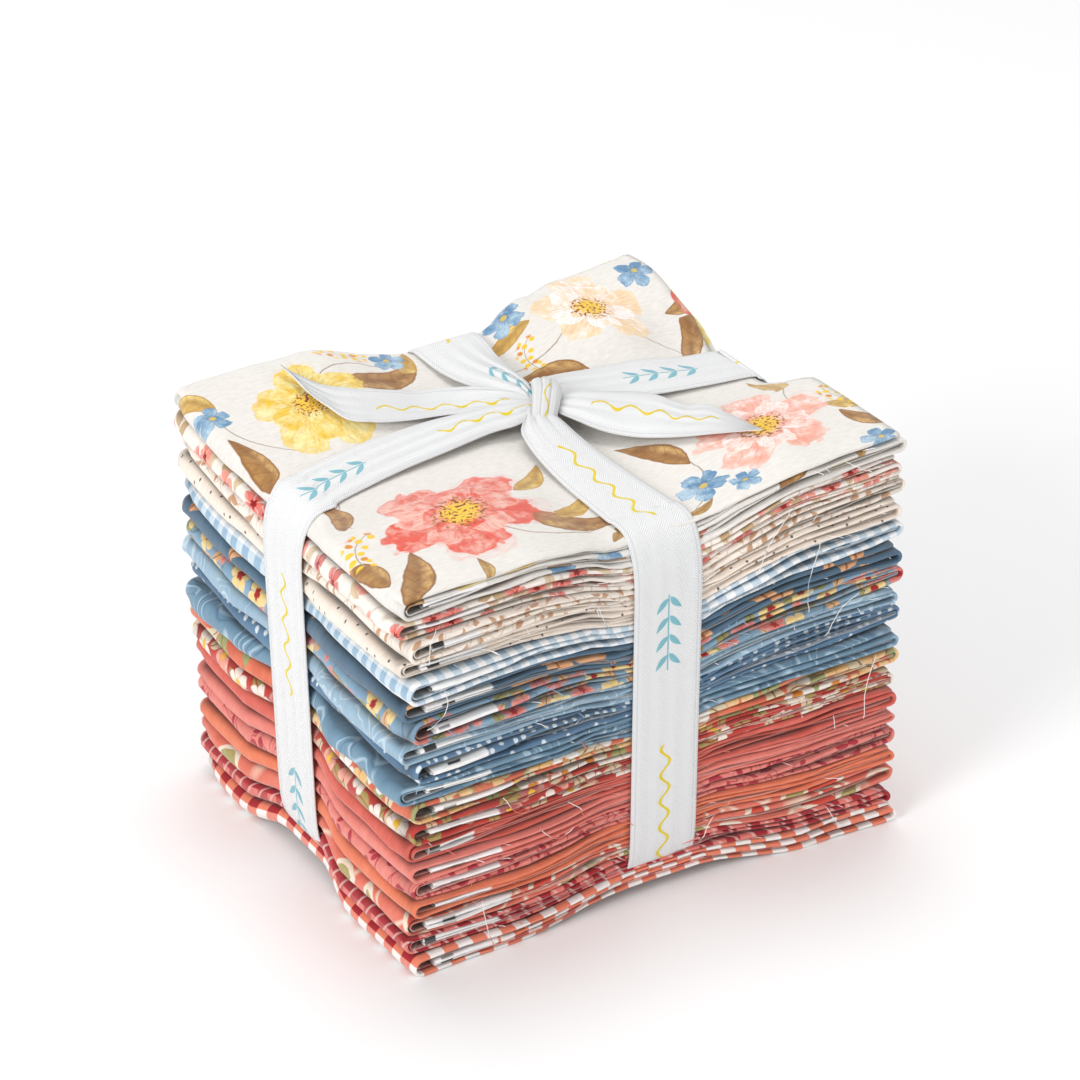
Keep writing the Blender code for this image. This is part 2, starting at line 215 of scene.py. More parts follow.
def letter_path(rise, fineness, tucked_in):
    """The second fold, along the length, as rows of x, z and the way out, and the length along."""
    low, middle, high = rise / 6, rise / 2, rise * 5 / 6
    large_x = -HALF_LONG + rise / 2
    small_x = HALF_LONG - rise / 6 - rise / 9 - COTTON / 2
    panel = int(26 * fineness)
    ease = np.linspace(0, 1, panel + 1)
    ease = ease + 0.04 * np.sin(-2 * math.pi * ease)
    rows = [(x, middle, 0, 1) for x in between((large_x + tucked_in, small_x), ease)]
    for turn in np.linspace(math.pi / 2, -math.pi / 2, 9)[1:]:
        out = (math.cos(turn), math.sin(turn))
        rows.append((small_x + rise / 6 * out[0], (low + middle) / 2 + rise / 6 * out[1], *out))
    rows += [(x, low, 0, -1) for x in between((small_x, large_x), ease)[1:]]
    for turn in np.linspace(-math.pi / 2, -3 * math.pi / 2, 15)[1:]:
        out = (math.cos(turn), math.sin(turn))
        rows.append((large_x + rise / 3 * out[0], middle + rise / 3 * out[1], *out))
    rows += [(x, high, 0, 1) for x in between((large_x, HALF_LONG - LOOSE_END_IN), ease)[1:]]
    rows = np.array(rows)
    steps = np.hypot(np.diff(rows[:, 0]), np.diff(rows[:, 1]))
    return rows, np.concatenate([[0], np.cumsum(steps)])


def third_fold_path(rise, fineness):
    """The first fold, in thirds across, as columns of y, height and sheet, and the length across."""
    gap = rise / 9
    half = gap / 2
    edge = HALF_SHORT - half
    flat = np.array(PLACES_ACROSS) / PLACES_ACROSS[0] * edge
    if fineness > 1:
        flat = np.interp(np.linspace(0, 1, int(len(flat) * fineness)), np.linspace(0, 1, len(flat)), flat)
    turns = np.linspace(0, math.pi, 7)[1:-1]
    columns = [(y, gap, 0) for y in flat]
    columns += [(-edge - half * math.sin(t), half + half * math.cos(t), 0.5) for t in turns]
    columns += [(y, 0.0, 1) for y in flat[::-1]]
    columns += [(edge + half * math.sin(t), -half + half * math.cos(t), 1.5) for t in turns]
    columns += [(y, -gap, 2) for y in flat]
    columns = np.array(columns)
    steps = np.hypot(np.diff(columns[:, 0]), np.diff(columns[:, 1]))
    return columns, np.concatenate([[0], np.cumsum(steps)])


def cloth_mesh(name, points, faces, flat):
    """A smooth mesh with the flat cloth as its UV map, in metres."""
    mesh = bpy.data.meshes.new(name)
    mesh.from_pydata(points.tolist(), [], faces.tolist())
    corners = np.empty(len(mesh.loops), dtype=np.int32)
    mesh.loops.foreach_get("vertex_index", corners)
    mesh.uv_layers.new(name="flat_cloth").data.foreach_set("uv", flat[corners].ravel())
    mesh.polygons.foreach_set("use_smooth", np.ones(len(mesh.polygons), dtype=bool))
    mesh.update()
    return mesh


def sheet_mesh(name, middle, flat_u, flat_v, painted_shade):
    """A closed thin sheet of cotton about a grid of points, noting its wrong side and its share of painted shade
    between the sheets.
    """
    out = np.cross(np.gradient(middle, axis=1), np.gradient(middle, axis=0))
    out /= np.maximum(np.linalg.norm(out, axis=-1, keepdims=True), 1e-12)
    points = np.concatenate([(middle + side * out * COTTON / 2).reshape(-1, 3) for side in (1, -1)])
    grid = np.arange(painted_shade.size).reshape(painted_shade.shape)
    a, b, c, d = (part.ravel() for part in (grid[:-1, :-1], grid[1:, :-1], grid[1:, 1:], grid[:-1, 1:]))
    count = painted_shade.size
    faces = [np.stack([a, d, c, b], 1), np.stack([a, b, c, d], 1) + count]
    for edge, flip in ((grid[0], False), (grid[-1], True), (grid[:, 0], True), (grid[:, -1], False)):
        one, two = (edge[1:], edge[:-1]) if flip else (edge[:-1], edge[1:])
        faces.append(np.stack([one, one + count, two + count, two], 1))
    u, v = np.broadcast_to(flat_u[:, None], grid.shape), np.broadcast_to(flat_v[None, :], grid.shape)
    flat = np.tile(np.stack([u.ravel(), v.ravel()], 1), (2, 1))
    mesh = cloth_mesh(name, points, np.concatenate(faces), flat)
    # The tucked_in layer holds the share of painted shade for the gaps between the sheets.
    for layer, values in (("wrong_side", np.repeat([0.0, 1.0], count)), ("tucked_in", np.tile(painted_shade.ravel(), 2))):
        mesh.attributes.new(layer, "FLOAT", "POINT").data.foreach_set("value", values)
    return mesh


def fold_fat_quarter(quarter, fineness=1.0):
    """One fat quarter as a single thin sheet of cotton, folded in thirds both ways."""
    chance = np.random.default_rng(quarter["number"])
    rise = room_for(quarter["height"]) + 0.0002
    rows, run = letter_path(rise, fineness, chance.uniform(*TUCKED_END_IN))
    columns, reach = third_fold_path(rise, fineness)
    x = rows[:, 0:1] + rows[:, 2:3] * columns[None, :, 1]
    z = rows[:, 1:2] + rows[:, 3:4] * columns[None, :, 1]
    y = np.broadcast_to(columns[None, :, 0], x.shape)
    sheet = columns[:, 2]
    sides = (
        (y > 0, sheet < 0.9, 0.5), (y > 0, sheet > 0.9, 0.0),
        (y < 0, sheet < 1.1, 0.0), (y < 0, sheet > 1.1, 0.7),
    )
    for side, sheets, further_in in sides:
        p, q, r = chance.uniform(0, 2 * math.pi, 3)
        wander = np.sin(2 * math.pi * run / 0.31 + p) + 0.6 * np.sin(2 * math.pi * run / 0.092 + q)
        wander = (wander + 0.35 * np.sin(2 * math.pi * run / 0.037 + r)) * EDGE_WANDER * quarter["uneven"]
        inset = chance.uniform(0, 1.5, 3)[[0, 0, 1, 2, 2]]
        inset = np.interp(run / run[-1], (0, 0.27, 0.5, 0.73, 1), inset)
        wander = (wander - (further_in + inset * quarter["uneven"]) * 0.001)[:, None]
        near = eased((np.abs(y) - 0.035) / (HALF_SHORT - 0.035)) * (1 - valley(x - CROSSWISE_X, 0.024))
        y = y + np.where(side & sheets[None, :], np.sign(y) * wander * near, 0)
    selvedge_end = eased((SELVEDGE + 0.004 - run) / 0.006)[:, None] * eased((-y - 0.06) / 0.01)
    y = y - SELVEDGE_OUT * quarter["uneven"] * selvedge_end
    p, q, r = chance.uniform(0, 2 * math.pi, 3)
    settled = np.sin(2 * math.pi * (x / 0.052 + sheet[None, :] * 0.37) + p)
    settled = settled + np.sin(2 * math.pi * x / 0.023 + q * sheet[None, :])
    by_the_edge = eased((np.abs(y) - 0.05) / 0.02) * eased((HALF_LONG - 0.006 - np.abs(x)) / 0.01)
    z = z + SHEET_JITTER * settled * by_the_edge
    bulge = 1 + 0.45 * np.sin(2 * math.pi * y / 0.083 + p) + 0.3 * np.sin(2 * math.pi * y / 0.031 + q)
    bulge = quarter["roll"] * 0.001 * bulge
    x = x - bulge * eased((-HALF_LONG + 0.016 - x) / 0.014) * (1 - lengthwise_valley(y))
    front_in, back_in = chance.uniform(*ROLL_END_IN, 2)
    pull = front_in * eased((-y - HALF_SHORT + 0.013) / 0.012)
    pull = pull + back_in * eased((y - HALF_SHORT + 0.013) / 0.012)
    x = x + pull * eased((-HALF_LONG + 0.015 - x) / 0.014)
    share = (quarter["floor"] + z) / STACK_HEIGHT
    middle = settle(x, y, share, quarter)
    flat_u = run - run[-1] + HALF_LONG - LOOSE_END_IN
    flat_v = HALF_SHORT - reach
    # The share of painted shade for each point: none near the cut edges and folds and on the top sheet, rising to
    # full deep in the gaps between the sheets, where the material darkens the colour by it.
    from_edge = np.minimum(HALF_LONG - np.abs(x), HALF_SHORT - np.abs(y))
    painted_shade = eased((from_edge - PAINTED_SHADE_FROM) / PAINTED_SHADE_OVER) * (1 - eased((share - TOP_SHEET) / 0.002))
    return sheet_mesh(quarter["node"], middle, flat_u, flat_v, painted_shade)


class Amount:
    """A number that changes over the cloth. Sums are written with it as with plain numbers, and make the nodes."""

    def __init__(self, cotton, socket):
        self.cotton = cotton
        self.socket = socket

    def __add__(self, other):
        return self.cotton.maths("ADD", self, other)

    def __sub__(self, other):
        return self.cotton.maths("SUBTRACT", self, other)

    def __rsub__(self, other):
        return self.cotton.maths("SUBTRACT", other, self)

    def __mul__(self, other):
        return self.cotton.maths("MULTIPLY", self, other)

    def __abs__(self):
        return self.cotton.maths("ABSOLUTE", self)

    def __gt__(self, other):
        return self.cotton.maths("GREATER_THAN", self, other)

    def __lt__(self, other):
        return self.cotton.maths("LESS_THAN", self, other)

    def line(self, slope, start):
        """The amount times slope, plus start."""
        return self.cotton.maths("MULTIPLY_ADD", self, slope, start)

    def ramp(self, slope, start):
        """The same, kept from 0 to 1."""
        return self.cotton.maths("MULTIPLY_ADD", self, slope, start, keep=True)


class Cotton:
    """The nodes of one cotton while its print is drawn on it, in millimetres of the flat cloth."""

    def __init__(self, name):
        self.material = bpy.data.materials.new(name)
        self.material.use_nodes = True
        self.tree = self.material.node_tree
        self.shader = self.tree.nodes["Principled BSDF"]
        self.marks_at = 9.0 + len(name) * 7 % 12
        self.cloth = self.scaled(self.new("ShaderNodeUVMap", {}, uv_map="flat_cloth")[0], 1000.0)
        self.along, self.across = self.parts(self.cloth)

    def join(self, socket, value):
        if isinstance(value, Amount):
            self.tree.links.new(value.socket, socket)
        elif socket.type == "RGBA" and len(value) == 3:
            socket.default_value = (*value, 1.0)
        else:
            socket.default_value = value

    def new(self, kind, inputs, **settings):
        """A node with its settings and what goes into it. Gives all that comes out of it."""
        node = self.tree.nodes.new(kind)
        for name, value in settings.items():
            setattr(node, name, value)
        for name, value in inputs.items():
            self.join(node.inputs[name], value)
        return [Amount(self, out) for out in node.outputs]

    def maths(self, operation, a, b=0.0, c=0.0, keep=False):
        return self.new("ShaderNodeMath", {0: a, 1: b, 2: c}, operation=operation, use_clamp=keep)[0]

    def vectors(self, operation, a, b):
        return self.new("ShaderNodeVectorMath", {0: a, 1: b}, operation=operation)[0]

    def scaled(self, vector, by):
        return self.new("ShaderNodeVectorMath", {0: vector, "Scale": by}, operation="SCALE")[0]

    def length(self, vector):
        return self.new("ShaderNodeVectorMath", {0: vector}, operation="LENGTH")[1]

    def parts(self, vector):
        return self.new("ShaderNodeSeparateXYZ", {0: vector})[:2]

    def together(self, x, y):
        return self.new("ShaderNodeCombineXYZ", {0: x, 1: y})[0]

    def turned(self, vector, angle):
        return self.new("ShaderNodeVectorRotate", {"Vector": vector, "Angle": angle}, rotation_type="Z_AXIS")[0]

    def noted(self, name, result=1):
        """What the mesh holds under a name: 0 as a colour, 1 as a place, 2 as a number."""
        return self.new("ShaderNodeAttribute", {}, attribute_name=name)[result]

    def mottle(self, where, size, detail=2.0, rough=0.5, wander=0.0):
        """Soft noise from 0 to 1 whose patches are about size across."""
        inputs = {"Vector": where, "Scale": 1.0 / size, "Detail": detail, "Roughness": rough, "Distortion": wander}
        return self.new("ShaderNodeTexNoise", inputs, noise_dimensions="2D")[0]

    def soft_offset(self, where, size, reach):
        """The same places, pushed about softly, so that drawn edges look painted by hand."""
        inputs = {"Vector": where, "Scale": 1.0 / size, "Detail": 2.0}
        push = self.new("ShaderNodeTexNoise", inputs, noise_dimensions="2D")[1]
        push = self.vectors("SUBTRACT", push, (0.5, 0.5, 0.5))
        return self.vectors("ADD", where, self.scaled(push, reach * 2))

    def scattered(self, where, spacing, evenness=0.25):
        """Scattered places about spacing apart: where a point lies from the nearest, and three chance numbers."""
        inputs = {"Vector": where, "Scale": 1.0 / spacing, "Randomness": 1.0 - evenness}
        nearest = self.new("ShaderNodeTexVoronoi", inputs, voronoi_dimensions="2D")
        one, two, three = self.new("ShaderNodeSeparateColor", {0: nearest[1]})
        return self.vectors("SUBTRACT", where, nearest[2]), one, two, three

    def tossed(self, where, spacing):
        """Scattered places, each turned its own way, and two chance numbers."""
        local, one, two, three = self.scattered(where, spacing)
        return self.turned(local, one * 6.28), two, three

    def within(self, value, edge, soft):
        """1 where value is below edge, 0 above it, over a soft width."""
        return (edge - value).ramp(1.0 / soft, 0.5)

    def both(self, a, b):
        return self.maths("MULTIPLY", a, b, keep=True)

    def over(self, ground, colour, share):
        """Colour laid over the ground by a share from 0 to 1."""
        return self.new("ShaderNodeMix", {0: share, 6: ground, 7: colour}, data_type="RGBA", clamp_factor=True)[2]

    def ground(self, deep, light, patches):
        """The colour the cloth is dyed, with soft patches of a lighter one."""
        self.colour = self.over(deep, light, self.mottle(self.cloth, patches))

    def ink(self, colour, share):
        """Prints a colour over all that is on the cloth so far, by a share from 0 to 1."""
        self.colour = self.over(self.colour, colour, share)

    def blossom(self, local, size):
        """A round flower of five petals: its shape, how far out it is from 0 to 1, its petals' gaps and the angle."""
        x, y = self.parts(local)
        out = self.length(local)
        angle = self.maths("ARCTAN2", y, x)
        wave = abs(self.maths("COSINE", angle * 2.5))
        reach = self.maths("POWER", wave, 0.55).line(0.45, 0.55) * size
        outward = self.maths("DIVIDE", out, reach, keep=True)
        return self.within(out, reach, 0.5), outward, 1.0 - self.both(wave, 3.0), angle

    def leaf(self, local, long, wide, bend=0.2, soft=0.35):
        """A pointed leaf along x: its shape and its middle vein."""
        x, y = self.parts(local)
        along = self.maths("DIVIDE", x, long)
        square = along * along
        body = self.maths("SUBTRACT", 1.0, square, keep=True)
        reach = self.maths("POWER", body, 0.85) * along.line(-0.28 * wide, wide)
        off = abs(square.line(-bend * long, y))
        shape = self.within(off, reach, soft) * (body > 0.01)
        return shape, self.both(self.within(off, 0.09 * wide, 0.25), shape)

    def stripes(self, value, width, share=0.5):
        """1 in every other stripe of a row of stripes of that width."""
        return self.within(self.maths("PINGPONG", value, width), width * share, 0.25)

    def scrolls(self, where, size, turns, width):
        """Curling lines, from the level lines of a soft swirling noise."""
        swirl = self.mottle(where, size, detail=0.0, wander=0.9)
        return self.within(self.maths("PINGPONG", swirl * turns, 0.5), width, 0.12)

    def finish(self, reverse):
        """The weave, the paler wrong side and the white selvedge with its dark blocks, over the drawn print, and a
        painted shade that darkens the cloth deep in the gaps between the sheets.
        """
        along, across = self.along, self.across
        cut_end = 93 - CLOTH_LONG * 1000
        uneven = self.marks_at * 3.0 % 13.0 - 6.0
        edge = self.mottle(self.cloth, 6.0).line(3.0, cut_end + SELVEDGE * 1000 + uneven)
        white = self.within(along, edge, 0.8)
        blocks = self.maths("SINE", across * 0.35).line(1.5, cut_end + self.marks_at)
        blocks = self.within(abs(along - blocks), 2.3, 0.4)
        stretch = self.mottle(self.together(across + self.marks_at * 31.0, 0.0), 3.2, detail=0.0)
        self.ink((0.90, 0.89, 0.88), white)
        self.ink((0.05, 0.05, 0.05), self.both(self.both(blocks, stretch.ramp(12.0, -5.6)), white))
        self.ink((0.80, 0.74, 0.68), self.noted("wrong_side", 2) * reverse)
        threads = 2 * math.pi / THREAD_PAIR
        weave = self.maths("SINE", along * threads) * self.maths("SINE", across * threads)
        slub = self.mottle(self.together(along * 0.25, across), 0.9, detail=3.0)
        shade = weave.line(0.05, 0.87) + slub * 0.24
        # Painted shade: darkens the colour where the cloth lies deep in the gaps between the sheets, standing in for
        # the shade there.
        shade = shade * self.noted("tucked_in", 2).line(-GAP_SHADE, 1.0)
        rumple = self.mottle(self.together(along * 0.45, across), 4.5, detail=1.0, wander=0.6)
        handle = rumple.line(0.6, self.mottle(self.cloth, 11.0, detail=3.0))
        height = weave * 0.00004 + handle * 0.00050 + slub * 0.00004
        shaded = self.scaled(self.colour, shade)
        return self.surface(shaded, slub.line(0.12, 0.82), height, 0.25, (0.35, 0.45))

    def surface(self, colour, rough, height, shine, sheen):
        """Gives the finished material its colour, roughness, raised threads, shine and sheen."""
        bump = self.new("ShaderNodeBump", {"Strength": 0.8, "Distance": 1.0, "Height": height})[0]
        for name, value in (
                ("Base Color", colour), ("Roughness", rough), ("Normal", bump), ("Specular IOR Level", shine),
                ("Sheen Weight", sheen[0]), ("Sheen Roughness", sheen[1])):
            self.join(self.shader.inputs[name], value)
        return self.material


def gingham(cotton, ground, lengthwise, crosswise, crossing, width, starts):
    """Even checks: a tone and its strength for the stripes each way, and the tone where they cross."""
    one = cotton.stripes(cotton.along + starts[0], width)
    two = cotton.stripes(cotton.across + starts[1], width)
    cotton.colour = ground
    for (tone, strength), stripe in ((lengthwise, one), (crosswise, two)):
        cotton.ink(tone, stripe * strength)
    cotton.ink(crossing, cotton.both(one, two))


def dark_red_plaid(cotton):
    cotton.colour = (0.74, 0.20, 0.17)
    cotton.ink((0.38, 0.02, 0.03), cotton.stripes(cotton.along, 5.0))
    cotton.ink((0.44, 0.03, 0.04), cotton.stripes(cotton.across, 5.0) * 0.75)
    cotton.ink((0.84, 0.60, 0.54), cotton.stripes(cotton.along + cotton.across, 3.1, 0.18) * 0.6)


def coral_paisley(cotton):
    where = cotton.soft_offset(cotton.cloth, 14.0, 2.0)
    cotton.ground((0.70, 0.15, 0.10), (0.80, 0.24, 0.17), 9.0)
    cotton.ink((0.86, 0.66, 0.52), cotton.scrolls(where, 34.0, 3.0, 0.07))
    local, chance, _ = cotton.tossed(where, 21.0)
    cotton.ink((0.84, 0.74, 0.60), cotton.leaf(local, 9.0, 4.6, 0.45)[0])
    inner = cotton.leaf(local, 6.6, 3.0, 0.45)[0]
    cotton.ink((0.42, 0.36, 0.14), cotton.both(inner, chance > 0.5))
    cotton.ink((0.66, 0.08, 0.05), cotton.both(inner, chance < 0.5))


def plain(cotton, deep, light):
    cotton.colour = cotton.over(deep, light, cotton.mottle(cotton.cloth, 5.0, detail=3.0))


def pink_sprig(cotton):
    where = cotton.soft_offset(cotton.cloth, 6.0, 0.9)
    cotton.ground((0.74, 0.20, 0.17), (0.82, 0.30, 0.25), 6.0)
    cotton.ink((0.40, 0.03, 0.05), cotton.scrolls(where, 9.0, 3.0, 0.05))
    cotton.ink((0.45, 0.04, 0.06), cotton.leaf(cotton.tossed(where, 6.5)[0], 2.3, 1.0)[0])


def small_garden(cotton, ground, deep, spacing, size, petals, hearts, leaves, twigs, leaf_share):
    """Scattered small flowers, leaves and twigs on a coloured ground."""
    where = cotton.soft_offset(cotton.cloth, 7.0, 1.2)
    cotton.ground(ground, deep, 10.0)
    cotton.ink(twigs, cotton.scrolls(where, spacing * 1.5, 2.0, 0.035) * 0.8)
    beside = cotton.vectors("ADD", where, (137.0, 59.0, 0.0))
    local, chance, tone_chance = cotton.tossed(beside, spacing * 0.8)
    leaf, vein = cotton.leaf(local, size * 1.15, size * 0.42)
    chosen = chance < leaf_share
    cotton.ink(cotton.over(leaves[0], leaves[1], tone_chance > 0.5), cotton.both(leaf, chosen))
    cotton.ink(twigs, cotton.both(vein, chosen))
    local, tone_chance, chance = cotton.tossed(where, spacing)
    shape, outward, gap, angle = cotton.blossom(local, size)
    tone = cotton.over(petals[0], petals[1], tone_chance > 0.40)
    tone = cotton.over(tone, petals[2], tone_chance > 0.75)
    streak = cotton.mottle(cotton.together(angle * 3.0, outward), 0.5)
    tone = cotton.over(tone, (0.86, 0.80, 0.74), streak * outward * 0.7)
    tone = cotton.over(tone, deep, gap * 0.5)
    tone = cotton.over(tone, hearts, cotton.within(outward, 0.30, 0.1))
    cotton.ink(tone, cotton.both(shape, chance > 0.15))


# The columns are: name, share of the stack's height, shift along and across in mm, turn in degrees, how uneven,
# how far its roll bulges in mm, how pale its wrong side is, and its print with the print's own tones and sizes.
CORAL_FAT_QUARTERS = (
    ("red_gingham", 1.00, (0.4, -0.6), 0.3, 0.6, 0.8, 0.25, gingham, (0.90, 0.87, 0.84),
     ((0.82, 0.20, 0.10), 0.95), ((0.78, 0.16, 0.09), 0.85), (0.40, 0.015, 0.025), 5.4, (3.0, 5.4)),
    ("dark_red_plaid", 0.94, (-0.8, 0.5), -0.4, 0.5, -0.4, 0.3, dark_red_plaid),
    ("coral_paisley", 1.04, (0.3, 0.8), 0.2, 0.7, 0.9, 0.4, coral_paisley),
    ("orange_coral", 0.92, (-0.5, -0.7), 0.5, 0.4, -0.2, 0.3, plain, (0.74, 0.17, 0.08), (0.82, 0.25, 0.14)),
    ("pink_sprig", 0.97, (0.8, 0.3), -0.3, 0.6, 0.5, 0.35, pink_sprig),
    ("pink_coral", 0.90, (-0.3, -0.4), 0.4, 0.5, -0.3, 0.3, plain, (0.74, 0.19, 0.15), (0.82, 0.27, 0.22)),
    ("coral_red", 1.02, (0.6, 0.6), -0.5, 0.7, 0.6, 0.3, plain, (0.60, 0.10, 0.07), (0.74, 0.17, 0.13)),
    ("red_floral", 1.00, (-0.9, -0.2), 0.2, 0.6, -0.5, 0.4, small_garden, (0.62, 0.08, 0.05), (0.42, 0.03, 0.03),
     12.0, 4.8, ((0.86, 0.26, 0.15), (0.88, 0.78, 0.68), (0.44, 0.02, 0.02)), (0.85, 0.52, 0.05),
     ((0.42, 0.30, 0.10), (0.66, 0.52, 0.34)), (0.30, 0.05, 0.03), 0.75),
    ("coral_bouquet", 1.06, (0.5, 0.4), 0.5, 0.8, 0.7, 0.35, small_garden, (0.80, 0.26, 0.14), (0.62, 0.09, 0.05),
     13.0, 6.4, ((0.90, 0.85, 0.77), (0.86, 0.45, 0.08), (0.89, 0.82, 0.74)), (0.66, 0.22, 0.02),
     ((0.36, 0.38, 0.16), (0.72, 0.60, 0.40)), (0.30, 0.12, 0.05), 0.9),
)
stack = {"number": 0, "floor": 0.0, "below": None}


def in_scene(name, data):
    """A new object of that name in the scene."""
    thing = bpy.data.objects.new(name, data)
    bpy.context.scene.collection.objects.link(thing)
    return thing


def lay_fat_quarters(table, fineness=1.0, printed=None):
    """Folds each fat quarter of a table, lays it on the one below and says which node it stands for."""
    for name, height, shift, turn, uneven, roll, pale, draw, *tones in table:
        stack["number"] += 1
        node = f"fat_quarter_{stack['number']:02d}_{name}"
        quarter = {"node": node + "_cloth", "number": stack["number"], "height": height, "shift": shift,
                   "turn": turn, "uneven": uneven, "roll": roll, "floor": stack["floor"]}
        mesh = fold_fat_quarter(quarter, fineness)
        if printed:
            printed(mesh)
        cotton = Cotton(name + "_cotton")
        draw(cotton, *tones)
        mesh.materials.append(cotton.finish(pale))
        cloth = in_scene(quarter["node"], mesh)
        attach(cloth, "root")
        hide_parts(node)
        stack["below"] = cloth
        stack["floor"] += room_for(height) + PIECE_GAP


lay_fat_quarters(CORAL_FAT_QUARTERS)


# The blue fat quarters, in the middle of the stack.
# The same quilting cotton, cut and folded in the same way, in blue prints: scrolls, dots, a garden print,
# a dark blue with orange leaves and a small woven-look check.
def blue_scroll(cotton):
    where = cotton.soft_offset(cotton.cloth, 16.0, 2.5)
    cotton.ground((0.14, 0.25, 0.35), (0.20, 0.33, 0.44), 12.0)
    cotton.ink((0.40, 0.55, 0.66), cotton.scrolls(where, 20.0, 4.0, 0.09))
    beside = cotton.vectors("ADD", where, (1.6, 1.1, 0.0))
    cotton.ink((0.07, 0.15, 0.24), cotton.scrolls(beside, 20.0, 4.0, 0.04) * 0.8)


def dots(cotton, deep, light, patches, tone, spacing, evenness, radius, soft):
    """Small dots on a coloured ground."""
    cotton.ground(deep, light, patches)
    local = cotton.scattered(cotton.cloth, spacing, evenness)[0]
    cotton.ink(tone, cotton.within(cotton.length(local), radius, soft))


def pale_blue(cotton):
    where = cotton.soft_offset(cotton.cloth, 8.0, 1.5)
    cotton.ground((0.27, 0.41, 0.53), (0.36, 0.50, 0.61), 9.0)
    cotton.ink((0.54, 0.67, 0.76), cotton.scrolls(where, 11.0, 3.5, 0.07))


def slate_blue(cotton):
    where = cotton.soft_offset(cotton.cloth, 9.0, 1.5)
    cotton.ground((0.07, 0.13, 0.20), (0.11, 0.19, 0.27), 10.0)
    leaf, vein = cotton.leaf(cotton.tossed(where, 24.0)[0], 11.0, 4.6)
    cotton.ink(cotton.over((0.70, 0.30, 0.12), (0.84, 0.50, 0.28), cotton.mottle(where, 4.0)), leaf)
    cotton.ink((0.40, 0.14, 0.05), vein)


BLUE_FAT_QUARTERS = (
    ("blue_scroll", 1.04, (-0.6, -0.8), -0.3, 0.6, 2.2, 0.35, blue_scroll),
    ("blue_dot", 0.98, (0.9, 0.2), 0.4, 0.7, -0.8, 0.35, dots, (0.09, 0.18, 0.30), (0.14, 0.25, 0.38), 8.0,
     (0.72, 0.79, 0.84), 4.0, 0.6, 0.85, 0.3),
    ("pale_blue", 0.96, (-0.4, 0.7), -0.5, 0.5, 0.6, 0.4, pale_blue),
    ("blue_garden", 1.08, (0.7, -0.5), 0.3, 0.8, 0.2, 0.22, small_garden, (0.29, 0.43, 0.55), (0.20, 0.34, 0.47),
     11.5, 4.6, ((0.70, 0.08, 0.05), (0.86, 0.60, 0.16), (0.60, 0.06, 0.05)), (0.40, 0.02, 0.02),
     ((0.34, 0.30, 0.10), (0.74, 0.42, 0.20)), (0.10, 0.11, 0.12), 0.9),
    ("slate_blue", 1.04, (-0.7, 0.4), -0.2, 0.6, -0.8, 0.35, slate_blue),
    ("blue_gingham", 1.10, (0.4, -0.3), 0.5, 0.7, 0.4, 0.3, gingham, (0.90, 0.91, 0.92),
     ((0.46, 0.61, 0.73), 0.7), ((0.52, 0.66, 0.77), 0.6), (0.32, 0.47, 0.61), 2.9, (0.0, 3.3)),
)
lay_fat_quarters(BLUE_FAT_QUARTERS)


# The cream fat quarters, at the top of the stack.
# Three cream cottons with small prints, and the top one with large watercolour flowers, which shows whole.
def cream_tan(cotton):
    where = cotton.soft_offset(cotton.cloth, 5.0, 0.9)
    cotton.ground((0.90, 0.80, 0.70), (0.92, 0.84, 0.76), 12.0)
    cotton.ink((0.52, 0.32, 0.20), cotton.scrolls(where, 9.0, 3.0, 0.04) * 0.7)
    cotton.ink((0.58, 0.34, 0.20), cotton.leaf(cotton.tossed(where, 5.5)[0], 2.2, 0.8)[0])


